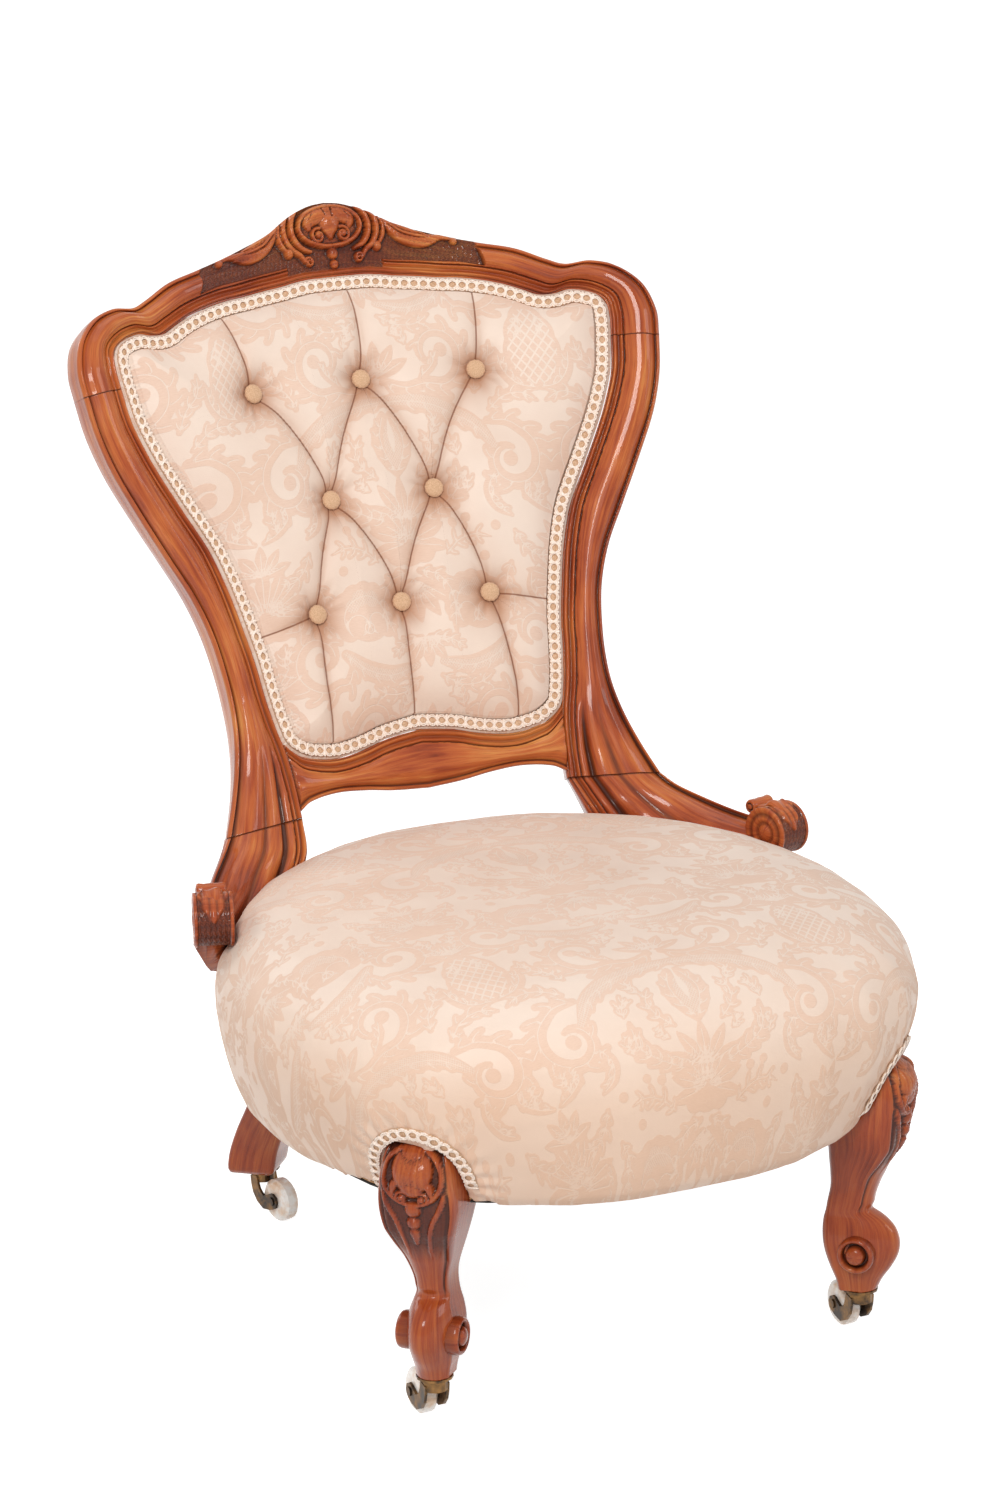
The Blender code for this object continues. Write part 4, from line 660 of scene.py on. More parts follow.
def member(name, outer, inner, outer_xz, inner_xz, normals, material, side=1, depth=FRAME_T,
           extra=None, fine=1, swell=1.0, joints=(False, False)):
    """A frame member as rings between its outer and inner edge points."""
    n = len(outer)
    faces, heights, flats = [], [], []
    depth = np.broadcast_to(np.asarray(depth, float), (n,))
    for i in range(n):
        width = np.linalg.norm(outer[i] - inner[i])
        wide = max(width, LEAST_WIDTH)
        places = across_places(wide, fine) / wide
        height = moulding(places * width, (1 - places) * width) * FRAME_RELIEF * swell
        share = places[:, None]
        faces.append(outer[i] * (1 - share) + inner[i] * share)
        heights.append(height)
        flats.append(outer_xz[i] * (1 - share) + inner_xz[i] * share)
    face, height, flat = np.array(faces), np.array(heights), np.array(flats)
    # painted shade, with some old wax, in the moulding's grooves: darker the deeper a point lies under its
    # smoothed neighbours; the joints' ends are dark too
    dark = np.clip((softened(height, 10, cross=False) - height) / HOLLOW_DEPTH, 0, 1)
    for end, joint in zip((0, -1), joints):
        if joint:
            dark[end] = 1.0
    if extra is not None:
        height, dark = extra(flat[..., 0], flat[..., 1], height, dark)
    front = face + normals[:, None] * height[..., None]
    back = [outer * (1 - across) + inner * across - normals * (down * depth)[:, None]
            for across, down in SIDE_SHARES]
    body = np.concatenate([front, np.array(back).transpose(1, 0, 2)], axis=1)
    body[..., 0] *= side
    hollow = np.concatenate([dark, np.zeros((n, len(SIDE_SHARES)))], axis=1)
    return skin(name, body, material, hollow=hollow)


# The back frame
LEAST_WIDTH = 0.022      # narrower members keep the moulding of this width
HOLLOW_DEPTH = 0.0013    # a groove this deep is as dark as they get
CARTOUCHE_Z = 0.8738
CARTOUCHE_A = 0.0335
CARTOUCHE_B = 0.0180
CARTOUCHE_DOME = 0.0030
SUNK_END = (0.1345, 0.8500)     # where the sunk ground ends, at which height
SUNK_SLANT = 0.25
SUNK_MIDDLE = (0.0465, 0.0060)  # half width of the ground under the cartouche, and its start
CREST_SUNK = 0.0022
CARVED_LIFT = 0.0012            # the carving starts this high over its sunk ground
CREST_LIP = 0.0025


def crest_carving():
    """The cartouche, its scrolls and the leaves beside it, as strokes in (x, z)."""
    turn = np.linspace(0.04, 2 * math.pi - 0.04, 90) - math.pi / 2
    single = [
        oval_rim(turn, CARTOUCHE_Z, CARTOUCHE_A * 0.90, CARTOUCHE_B * 0.93, 0.0023, 0.0074),
        stroke((0, 884.5, 9, 7.8), (0, 879, 11.8, 10.4), (0, 871.2, 6.8, 8.6), (0, 865, 3, 6.2)),
        bead(0, 851.2, 5.2, 5.8),
        bead(0, 841.8, 4, 4.6)]
    pairs = [
        stroke((5, 883, 8.2, 9.2), (13.5, 882.2, 7.8, 8.6), (20, 878.2, 6, 7.4), (19.6, 873.8, 3.4, 5.2)),
        volute(12.2, 866.2, 6.6, 1.5, 2.1, 6.6, 1.9, -1),
        bead(12.2, 866.2, 3.1, 8.6),
        stroke((27, 891.2, 1.4, 5.2), (34.5, 883.6, 2.6, 6.8), (37.8, 874.4, 3.1, 7.4),
               (36.2, 865.2, 3.1, 7.2), (30, 857.4, 2.7, 6.4), (21.5, 853.8, 1.7, 5), count=60),
        stroke((34.5, 889.8, 1.4, 4.8), (42.5, 882, 2.4, 6.2), (45.5, 873.5, 3, 6.8), (44, 864, 3, 6.6),
               (38.5, 856.2, 2.8, 6), (31.8, 851.6, 2.4, 5.4), (28.2, 846.2, 1.8, 4.6), count=60),
        volute(24.6, 845.2, 4.2, 1.4, 1.7, 4.8, 0.4, 1),
        bead(43, 854.2, 4.6, 6.8),
        stroke((48.5, 879, 1.2, 4.4), (51.2, 871, 2.1, 5.6), (50, 863, 2.4, 5.8), (46.2, 857.2, 1.8, 5.2),
               count=50),
        stroke((53, 876.5, 2.8, 5), (60, 867.2, 5.6, 6.6), (70, 860.8, 7, 7), (83, 857, 5.8, 6),
               (96, 856.8, 3.6, 5), (106, 857.2, 2.4, 4.2), (113, 855, 1.8, 3.6), count=60, shape="ridge"),
        stroke((54.5, 869, 1.6, 4.2), (64, 859.2, 2.7, 5.6), (76, 853.6, 2.9, 5.6), (88, 852, 2.4, 4.8),
               (98, 854, 1.2, 3.6), count=50),
        stroke((56, 876.2, 1.2, 4.8), (68, 869, 2, 5.8), (79, 864, 1.8, 5.2), (90, 860.8, 0.8, 3.8),
               count=50),
        bead(114.5, 853.5, 3.6, 5.6)]
    return single + both(pairs)


def cuts_in_shell(x, z):
    """The fine cuts of the shell and the ribs that run down the leaves."""
    shell = [
        stroke((4, 889, 0.8, 2.4), (2.8, 885, 0.8, 2.4), (3.2, 881.5, 0.8, 2.4)),
        stroke((-5.2, 888.5, 0.8, 2.2), (-3.6, 883.5, 0.8, 2.2))]
    ribs = [
        stroke((56, 871.2, 0.7, 1.6), (66, 863.2, 1, 2.4), (79, 858.6, 0.9, 2), (92, 857.4, 0.5, 0.8)),
        stroke((60, 871.2, 0.6, 1.2), (70, 865, 0.9, 1.8), (81, 861.2, 0.5, 0.8)),
        stroke((16, 884.6, 0.7, 1.4), (20.5, 880, 0.6, 1))]
    return relief(x, z, shell + both(ribs))


def punched(x, z):
    """The uneven, punched texture of a sunk ground."""
    grain = np.sin(x * 2600 + 3 * np.sin(z * 900)) * np.sin(z * 2300 + 2 * np.sin(x * 1100))
    return 0.00042 * grain


def carve_crest(x, z, height, dark):
    """Sinks the grounds beside and under the cartouche and raises the carving from them."""
    apart = np.abs(x)
    outer_z, inner_z = (
        np.interp(apart, *np.array(sorted(
            (row[k] * SHOULDER_HALF, SHOULDER_JOINT_Z + row[k + 1] * CREST_RISE)
            for row in CREST_SHARES[5:])).T) for k in (0, 2))
    line = inner_z + MOULD_INNER_W * 1.04
    end = SUNK_END[0] + SUNK_SLANT * (SUNK_END[1] - z)

    def edge(value, soft=0.0007):
        return np.clip(0.5 + value / (2 * soft), 0, 1)

    panel = edge(end - apart) * edge(z - line)
    middle = edge(SUNK_MIDDLE[0] - apart) * edge(z - inner_z - SUNK_MIDDLE[1])
    sunk = np.maximum(panel, middle)
    floor = -CREST_SUNK + punched(x, z)
    height = height * (1 - sunk) + floor * sunk
    form = relief(x, z, crest_carving())
    dome = np.clip(1 - (x / CARTOUCHE_A) ** 2 - ((z - CARTOUCHE_Z) / CARTOUCHE_B) ** 2, 0, 1) ** 0.5
    raised = np.maximum(form, CARTOUCHE_DOME * dome * 0.8)
    cuts = cuts_in_shell(x, z) * (form > 0.002)
    height = np.where(raised > 0.0003, np.maximum(height, floor + raised + CARVED_LIFT - cuts), height)
    lip = np.clip((outer_z - z) / CREST_LIP, 0, 1)
    height = height * (0.35 + 0.65 * lip)
    # painted shade, with some old wax: the sunk ground is dark, lighter on its punched bumps, and shade is
    # painted where the carving falls steeply
    ground = sunk * np.clip(1 - raised / CREST_SUNK, 0, 1)
    dark = np.maximum(dark * (1 - sunk), ground * (0.80 + 500 * punched(x, z)))
    steep = np.clip((softened(height, 7) - height) / 0.0009, 0, 1) * np.maximum(sunk, raised > 0.0002)
    return height, np.clip(np.maximum(dark, steep), 0, 1)


def crest_stations(count):
    rows = [(x * SHOULDER_HALF, SHOULDER_JOINT_Z + z * CREST_RISE,
             u * SHOULDER_HALF, SHOULDER_JOINT_Z + w * CREST_RISE) for x, z, u, w in CREST_SHARES]
    half = smooth_line(rows, count)
    return np.vstack([half, half[-2::-1] * (-1, 1, -1, 1)])


def crest_rail():
    rows = crest_stations(330)
    rows[[0, -1], 1::2] += JOINT_SLIT
    outer, inner = on_back(rows[:, 0], rows[:, 1]), on_back(rows[:, 2], rows[:, 3])
    made = member("crest_rail_carved", outer, inner, rows[:, :2], rows[:, 2:],
                  back_normal((rows[:, 0] + rows[:, 2]) / 2), WALNUT, extra=carve_crest, fine=2,
                  joints=(True, True))
    return dress(made, "crest_rail")


def stile_edges(share):
    edges = flow(STILE_SHARES, share) * SHOULDER_HALF
    z = LOW_JOINT_Z + np.asarray(share) * (SHOULDER_JOINT_Z - LOW_JOINT_Z)
    return edges[..., 0], edges[..., 1], z


def stile(name, side):
    slip = JOINT_SLIT / (SHOULDER_JOINT_Z - LOW_JOINT_Z)
    share = np.concatenate([[slip], np.linspace(slip * 12, 1 - slip * 12, 120), [1 - slip]])
    outer, inner, z = stile_edges(share)
    made = member(name + "_moulded", on_back(outer, z), on_back(inner, z), np.stack([outer, z], -1),
                  np.stack([inner, z], -1), back_normal((outer + inner) / 2), WALNUT, side,
                  joints=(True, True))
    return dress(made, name)


def rail_heights(at):
    low = flow(RAIL_LOW_SHARES, np.abs(at))[..., 0] * RAIL_RISE + RAIL_LOW_Z
    top = flow(RAIL_TOP_SHARES, np.abs(at))[..., 0] * RAIL_RISE + RAIL_LOW_Z
    return low, top


def lower_back_rail():
    slip = JOINT_SLIT / RAIL_END_HIGH
    at = np.linspace(-1 + slip, 1 - slip, 120)
    low, top = rail_heights(at)
    outer, inner = on_back(at * (RAIL_END_LOW + RAIL_END_SPREAD), low), on_back(at * RAIL_END_HIGH, top)
    made = member("lower_back_rail_moulded", outer, inner, np.stack([at, low], -1), np.stack([at, top], -1),
                  back_normal(outer[:, 0]), WALNUT, swell=0.75)
    return dress(made, "lower_back_rail")


# The elbows, with their rolled ends
def elbow_edges():
    outer, inner, z = (float(v) for v in stile_edges(np.array(0.0)))
    start = on_back(outer, z - JOINT_SLIT)
    first = on_back(inner, z - JOINT_SLIT)
    rows = [tuple(start) + tuple(first)]
    run = ELBOW_END_Y - start[1]
    for ox, oy, oz, ix, iy, iz in ELBOW_SHARES:
        rows.append((ox * ELBOW_REACH, start[1] + oy * run, oz * LOW_JOINT_Z,
                     ix * ELBOW_REACH, start[1] + iy * run, iz * LOW_JOINT_Z))
    return np.array(rows)


def elbow(name, side):
    rows = elbow_edges()
    line = smooth_line(rows, 70)
    outer, inner = line[:, :3], line[:, 3:]
    ahead = np.gradient(outer, axis=0)
    across = inner - outer
    normal = unit(np.cross(across, ahead))
    first = back_normal(outer[0, 0])
    normal[(normal @ first) < 0] *= -1
    share = np.linspace(0, 1, len(line))[:, None]
    blend = np.minimum(share * 3, 1)
    normal = unit(first * (1 - blend) + normal * blend)
    depth = FRAME_T + (ELBOW_T - FRAME_T) * share[:, 0]
    flat = np.stack([line[:, 0], line[:, 2]], -1)
    made = member(name + "_moulded", outer, inner, flat, flat, normal, WALNUT, side, depth,
                  joints=(True, False))
    before, after = rows[-3, :3], rows[-1, :3]
    way = unit(np.array([after[0] - before[0], after[1] - before[1], 0.0]))
    axis = Vector((-way[1], way[0], 0))
    roll = knuckle_roll(name, axis, Vector(way))
    for vert in roll.data.vertices:
        vert.co.x *= side
    face_outward(roll.data)
    joined = join(name + "_carved", [made, roll])
    return dress(joined, name)


# the roll's scrolled end, in shares of its half width and radius, and the way of the strap over it
ROLL_END = ((1.05, 0.04), (1.04, 0.20), (0.96, 0.28), (0.90, 0.34), (0.90, 0.42), (0.98, 0.49),
            (1.00, 0.58), (0.93, 0.67), (0.90, 0.74), (0.97, 0.83), (1.00, 0.92), (0.97, 0.985),
            (0.90, 1.0), (0.83, 0.985), (0.79, 0.93))
STRAP_PATH = ((-0.004, 0.002), (0.004, -0.0005), (0.0115, 0.0012), (0.0200, 0.0062), (0.0290, 0.0030),
              (0.0370, -0.0065))
STRAP_STEPS = 26
STRAP_HALF = 0.0125
STRAP_T = 0.0022
STRAP_RIB = 0.0012
CURL_PROFILE = ((0.0004, 0.0130), (0.0022, 0.0132), (0.0026, 0.0118), (0.0036, 0.0116), (0.0042, 0.0128),
                (0.0056, 0.0122), (0.0064, 0.0105), (0.0058, 0.0060))
CURL_BACK = 0.0215       # the curl's middle lies this far behind the roll's
CURL_RISE = 0.0190
CURL_GROOVE = (0.0024, 0.0040)
DRUM_SIZE = 0.93         # the drum's radius and half width, in the same shares
DRUM_HALF = 0.80
ROLL_LEAF = (8, 78, 230)    # in degrees round the roll: its tip, where it is full, its end
LEAF_LOBES = 9
LEAF_RIBS = 17
LEAF_LIFT = 0.085
RIB_LIFT = 0.022
END_GROOVES = (0.38, 0.71)


def knuckle_roll(name, axis, way):
    """The elbow's roll: a punched drum between rims, scrolled ends, a leaf over it and a small curl."""
    middle = [(s, DRUM_SIZE) for s in np.linspace(-0.75, 0.75, 42)]
    rows = np.array([(-s, r) for s, r in ROLL_END] + middle + list(ROLL_END[::-1]))
    angle = np.linspace(0, 2 * math.pi, 150, endpoint=False)
    spread, size = rows[:, :1], rows[:, 1:]
    turn = np.degrees(angle)[None, :]
    drum = (np.abs(spread) < DRUM_HALF).astype(float)
    tip, full, end = ROLL_LEAF
    wide = (DRUM_HALF * np.clip((turn - tip) / (full - tip), 0, 1) ** 0.6 * (turn < end)
            * (1 + 0.10 * np.cos(np.radians(turn * LEAF_LOBES))))
    leaf = np.clip((wide - np.abs(spread)) / 0.10, 0, 1) * drum
    ribs = RIB_LIFT * np.cos(spread * LEAF_RIBS) * leaf
    grain = np.sin(spread * 46 + 2 * np.sin(turn * 0.31)) * np.sin(turn * 0.62 + 1.7 * np.sin(spread * 21))
    lift = leaf * LEAF_LIFT + ribs + RIB_LIFT * grain * drum * (1 - leaf)
    radius = KNUCKLE_R * 0.98 * (size + lift)
    points = (np.array(KNUCKLE_SPOT)[None, None] + spread[..., None] * np.array(axis) * KNUCKLE_W / 2
              + radius[..., None] * (np.cos(angle)[None, :, None] * np.array(way)
                                     + np.sin(angle)[None, :, None] * np.array((0, 0, 1.0))))
    # painted shade in the end grooves, on the punched drum (with some old wax, lighter on its bumps) and
    # between the leaf's ribs
    groove = sum(np.exp(-((size - at) / 0.05) ** 2) for at in END_GROOVES)
    groove = groove * (np.abs(spread) > 0.85) + np.exp(-((np.abs(spread) - 0.79) / 0.03) ** 2)
    dark = np.maximum(np.broadcast_to(groove, lift.shape), drum * (1 - leaf) * (0.78 - 0.3 * grain))
    dark = np.maximum(dark, leaf * np.clip(-np.cos(spread * LEAF_RIBS), 0, 1) * 0.55)
    roll = skin(name + "_roll", points, WALNUT, hollow=np.clip(dark, 0, 1))
    start = np.array(KNUCKLE_SPOT) - np.array(way) * CURL_BACK + np.array((0, 0, CURL_RISE))
    profile = list(CURL_PROFILE) + [(0.0062, 0.0)] + [(r, -h) for r, h in CURL_PROFILE[::-1]]
    # painted shade in the curl's groove
    curl = turned_piece(name + "_curl", profile, start, axis, WALNUT,
                        [CURL_GROOVE[0] < r < CURL_GROOVE[1] for r, h in profile])
    path = smooth_line([start + np.array(way) * a + np.array((0, 0, b)) for a, b in STRAP_PATH], STRAP_STEPS)
    round_way = np.linspace(0, 2 * math.pi, 20, endpoint=False)
    rings = []
    for k, spot in enumerate(path):
        t = k / (STRAP_STEPS - 1)
        half, thick = STRAP_HALF * (1 - 0.55 * t), STRAP_T * (1 - 0.4 * t)
        rings.append(spot + np.cos(round_way)[:, None] * half * np.array(axis)
                     + (np.sin(round_way) * thick
                        + STRAP_RIB * np.cos(round_way * 3))[:, None] * np.array((0, 0, 1.0)))
    strap = skin(name + "_strap", np.array(rings), WALNUT)
    return join(name + "_scroll", [roll, curl, strap])


# The legs
SHAFT_SWELLS = ((0.08, 0.084, 0.016), (-0.11, 0.128, 0.018))    # share of the width, height, reach
BULB_Z = 0.078
BULB_REACH = 0.030
KNEE_FROM = 0.150
KNEE_BLEND = 0.030
KNEE_PANEL_SHARE = 0.89  # the carved panel's part of the knee's width
KNEE_PANEL_TOP = 0.256
KNEE_SUNK = 0.0026
EDGE_BEAD = 0.0017
EDGE_BEAD_FROM = 0.112


def leg_axes(side):
    out = np.array([side, -1, 0]) / math.sqrt(2)
    across = np.array([1, side, 0]) / math.sqrt(2)
    return np.array([side * FOOT_HALF, FOOT_Y, 0]), out, across


def knee_carving():
    """The oval cabochon, leaves, volutes and husks on a knee, in (across, z)."""
    single = [
        oval_rim(np.linspace(0, 2 * math.pi, 70), KNEE_OVAL_Z, 0.0252, 0.0235, 0.0024, 0.0052),
        stroke((0, 245.5, 14, 7), (0, 236, 17.8, 11), (0, 226, 13, 8)),
        bead(0, 203, 7, 6.4),
        bead(0, 191.2, 6, 5.8),
        stroke((0, 182, 4.6, 5), (0, 170, 1.4, 2.8))]
    pairs = [
        stroke((10, 229, 3, 6), (15, 223.5, 4, 6.4), (17, 216, 2.2, 4.4)),
        volute(9, 213, 5.6, 1.4, 1.9, 5, 2.2, -1),
        bead(9, 213, 2.6, 6.6),
        stroke((28.5, 240, 2, 2.2), (28.2, 223, 2.4, 2.8), (23.5, 207, 2.4, 3), (15, 190, 2.2, 2.6),
               (10.5, 170, 2, 2.2), (10, 145, 1.4, 1.6), count=60)]
    return single + both(pairs)


def front_leg(name, side):
    origin, out, across = leg_axes(side)
    shares = np.linspace(0, 1, 230)
    rows = flow(LEG_SHARES, shares)
    z = CASTOR_HEIGHT + shares * (KNEE_TOP_Z - CASTOR_HEIGHT)
    far, near = rows[:, 0] * KNEE_REACH, rows[:, 1] * KNEE_REACH
    half = (ANKLE_W + rows[:, 2] * (KNEE_W - ANKLE_W)) / 2
    foot = np.clip((z - CASTOR_HEIGHT) / 0.013, 0, 1)
    half = FOOT_W / 2 * 0.95 * (1 - foot) + half * foot
    half = half * sum((share * np.exp(-((z - at) / reach) ** 2) for share, at, reach in SHAFT_SWELLS), 1.0)
    front_v = np.linspace(-1, 1, 62)
    side_u, back_v = np.linspace(0, 1, 13)[1:], np.linspace(0.85, -0.85, 7)
    # the foot's bulb is round, the shaft is softly round and the knee has a flat face and soft edges
    bulb = np.exp(-((z - BULB_Z) / BULB_REACH) ** 4)
    knee = np.clip((z - KNEE_FROM) / KNEE_BLEND, 0, 1)
    edge_u = 1 - 0.85 * bulb - (1 - bulb) * (0.42 * knee + 0.60 * (1 - knee))
    face = np.abs(front_v)[None, :]
    flat_face = np.clip((face - 0.72) / 0.28, 0, 1) ** 2
    fall = bulb[:, None] * face ** 2.2 + (1 - bulb[:, None]) * (knee[:, None] * flat_face
                                                                + (1 - knee[:, None]) * face ** 2.6)
    front_u = 1 - (1 - edge_u[:, None]) * fall
    sides = edge_u[:, None] + (-0.85 - edge_u[:, None]) * side_u[None, :]
    rear_u = np.full((len(z), len(back_v)), -1.0)
    shape_u = np.concatenate([front_u, sides, rear_u, sides[:, ::-1]], axis=1)
    shape_v = np.concatenate([front_v, np.ones(12), back_v, -np.ones(12)])
    mid, reach = (far + near) / 2, (far - near) / 2
    u = mid[:, None] + reach[:, None] * shape_u
    v = half[:, None] * shape_v[None, :]
    height = np.zeros(u.shape)
    dark = np.zeros(u.shape)
    k = len(front_v)
    a, b = v[:, :k], np.broadcast_to(z[:, None], (len(z), k))
    raised = relief(a, b, knee_carving())
    inside = (np.clip((half[:, None] * KNEE_PANEL_SHARE - np.abs(a)) / 0.0012, 0, 1)
              * np.clip((b - KNEE_FROM) / 0.02, 0, 1) * np.clip((KNEE_PANEL_TOP - b) / 0.002, 0, 1))
    carved = inside * (-KNEE_SUNK + punched(a, b) + raised)
    edge = (np.exp(-((np.abs(shape_v[None, :k]) - 0.95) / 0.05) ** 2)
            - 0.8 * np.exp(-((np.abs(shape_v[None, :k]) - 0.83) / 0.05) ** 2))
    edge = EDGE_BEAD * edge * np.clip((z - EDGE_BEAD_FROM) / 0.012, 0, 1)[:, None]
    height[:, :k] = carved + edge
    # painted shade, with some old wax, on the knee's sunk punched ground and where the carving falls steeply
    soft = softened(height[:, :k], 7)
    ground = inside * np.clip(1 - raised / 0.0018, 0, 1) * 0.85
    dark[:, :k] = np.maximum(ground, np.clip((soft - height[:, :k]) / 0.0007, 0, 1))
    u = u + height
    points = (origin[None, None] + u[..., None] * out + v[..., None] * across
              + np.array([0, 0, 1.0]) * z[:, None, None])
    middle = points[-1].mean(axis=0)
    lid = middle + (points[-1] - middle) * 0.75
    lid[:, 2] = LEG_TOP_Z
    points = np.concatenate([points, lid[None]], axis=0)
    dark = np.concatenate([dark, np.zeros((1, dark.shape[1]))], axis=0)
    leg = skin(name + "_body", points, WALNUT, hollow=dark)
    return dress(join(name + "_carved", [leg] + scroll_eyes(name, side)), name)


def turned_piece(name, profile, spot, axis, material, dark, steps=40):
    """A turned shape whose profile runs (radius, height) from the axis out and back to it."""
    angle = np.linspace(0, 2 * math.pi, steps, endpoint=False)
    profile = np.array(profile, float)
    rings = np.stack([profile[:, :1] * np.cos(angle), profile[:, :1] * np.sin(angle),
                      np.broadcast_to(profile[:, 1:], (len(profile), steps))], -1)
    turn = Vector((0, 0, 1)).rotation_difference(Vector(axis)).to_matrix()
    rings = rings @ np.array(turn).T + np.array(spot)
    return skin(name, rings, material, hollow=np.repeat(np.array(dark, float)[:, None], steps, axis=1))


def scroll_eyes(name, side):
    """Both eyes of the foot's scroll: a raised ring round a button."""
    origin, out, across = leg_axes(side)
    made = []
    for face in (-1, 1):
        r, p, h = EYE_R, EYE_PIN_R, EYE_REACH
        profile = [(p * 0.03, h + 0.0008), (p * 0.55, h + 0.0002), (p * 0.86, h - 0.0014),
                   (p * 0.97, h - 0.0036), (p * 0.97, h - 0.0085), (r - 0.0054, h - 0.0088),
                   (r - 0.0050, h - 0.0060), (r - 0.0040, h - 0.0028), (r - 0.0024, h - 0.0014),
                   (r - 0.0008, h - 0.0026), (r, h - 0.0052), (r * 0.985, 0.0), (0.001, 0.0)]
        spot = origin + out * EYE_OUT + np.array([0, 0, EYE_Z])
        # painted shade in the eye's grooves, round the button and at the ring's foot
        made.append(turned_piece(name + "_eye", profile, spot, across * face, WALNUT,
                                 (0, 0, 0, 0.5, 1, 1, 0.9, 0.1, 0, 0, 0.3, 0.9, 0)))
    return made


REAR_FLAT = 0.82         # a rear leg's section: its flat share and its corners' round one
REAR_ROUND = 0.18
REAR_NECK = (0.10, 0.012)    # it narrows this much at the castor, over this share of its height


def back_leg(name, side):
    share = np.linspace(0, 1, 60)
    z = CASTOR_HEIGHT + share * (LEG_TOP_Z - CASTOR_HEIGHT)
    way = flow(REAR_LEG_SHARES, share)
    x, y = way[:, 0] * REAR_FOOT_HALF, REAR_FOOT_Y + way[:, 1] * (REAR_TOP_Y - REAR_FOOT_Y)
    half = (REAR_FOOT_W + (REAR_TOP_W - REAR_FOOT_W) * share) / 2
    half = half * (1 - REAR_NECK[0] * np.exp(-share / REAR_NECK[1]))
    corner = []
    for start in range(4):
        for turn in np.linspace(0, math.pi / 2, 8):
            angle = start * math.pi / 2 + turn
            cx, cy = (1, -1, -1, 1)[start], (1, 1, -1, -1)[start]
            corner.append((cx * REAR_FLAT + REAR_ROUND * math.cos(angle),
                           cy * REAR_FLAT + REAR_ROUND * math.sin(angle)))
    corner = np.array(corner)
    a, b = half[:, None] * corner[None, :, 0], half[:, None] * corner[None, :, 1]
    points = np.stack([x[:, None] + a * math.cos(REAR_TURN) - b * math.sin(REAR_TURN),
                       y[:, None] + a * math.sin(REAR_TURN) + b * math.cos(REAR_TURN),
                       np.broadcast_to(z[:, None], a.shape)], -1)
    points[..., 0] *= side
    return dress(skin(name + "_planed", points, WALNUT), name)


# The damask: one repeat, mirrored about its middle, drawn in mm and kept as distances in metres
TILE_W = 0.300
TILE_H = 0.330
TILE_STEP = 0.00085
FAR = 0.006              # distances are cut off here
VEIN_FAR = 0.004         # and those to a vein here
# the repeat's mirror images and neighbours: flip, slide and shift
TILE_TURNS = [(flip, slide, shift) for flip, slide in ((1, 0), (-1, 0), (-1, TILE_W))
              for shift in (-TILE_H, 0, TILE_H)]


def arc(cx, cy, r, start, end, count=16):
    """Points along an arc, with its angles in degrees."""
    angle = np.radians(np.linspace(start, end, count))
    return np.stack([cx + r * np.cos(angle), cy + r * np.sin(angle)], -1)


def scroll(cx, cy, r, start, turns, close=0.34, count=16):
    """Points along a spiral that winds in from radius r."""
    t = np.linspace(0, 1, count)
    angle = np.radians(start + 360 * turns * t)
    reach = r * (1 - (1 - close) * t)
    return list(zip(cx + reach * np.cos(angle), cy + reach * np.sin(angle)))


def acanthus(points, body, reach, lobes, sides=(1, -1), tail=0.16, open_way=62, close_way=12):
    """A lobed leaf along a curve: its discs, and the veins of its rib and lobes."""
    fine = smooth_line(points, 50)
    ahead = unit(np.gradient(fine, axis=0))
    t = np.linspace(0, 1, 50)
    wide = body * (np.sin(math.pi * np.clip(0.10 + 0.86 * t, 0, 1)) ** 0.7 + tail)
    discs = [(x, y, w) for (x, y), w in zip(fine, wide)]
    veins = [fine[2:46]]
    for side in sides:
        for k in range(lobes):
            share = (k + 0.30) / lobes * 0.90
            i = int(share * 49)
            size = reach * math.sin(math.pi * (0.22 + 0.66 * share)) ** 0.8
            spot, way = fine[i].copy(), math.atan2(ahead[i, 1], ahead[i, 0])
            path = []
            for q in np.linspace(0, 1, 11):
                turn = way + side * math.radians(open_way + (close_way - open_way) * q)
                path.append(spot.copy())
                discs.append((spot[0], spot[1], size * (0.20 + 0.20 * q - 0.16 * q * q)))
                spot = spot + size * 0.1 * np.array((math.cos(turn), math.sin(turn)))
            veins.append(np.array(path)[2:9])
    return discs, veins


def petals(cx, cy, count, low, high, inner, length, width):
    """Pointed petals that fan out round a flower's foot, each with its vein."""
    discs, veins = [], []
    for k in range(count):
        angle = math.radians(low + (high - low) * k / max(count - 1, 1))
        for t in np.linspace(0, 1, 14):
            reach = inner + length * t
            discs.append((cx + reach * math.cos(angle), cy + reach * math.sin(angle),
                          width * (math.sin(math.pi * min(0.12 + 0.88 * t, 1)) + 0.05)))
        veins.append(np.array([(cx + r * math.cos(angle), cy + r * math.sin(angle))
                               for r in (inner + length * 0.05, inner + length * 0.72)]))
        if k:
            angle -= math.radians((high - low) / max(count - 1, 1)) / 2
            veins.append(np.array([(cx + r * math.cos(angle), cy + r * math.sin(angle))
                                   for r in (inner * 0.7, inner + length * 0.55)]))
    return discs, veins


def net_along(points, count, wide, raised=0.0):
    """The discs of a netted band along a curve, narrow at its ends."""
    return [(x, y + raised, wide * math.sin(math.pi * (0.1 + 0.8 * k / (count - 1))) ** 0.6)
            for k, (x, y) in enumerate(smooth_line(points, count))]


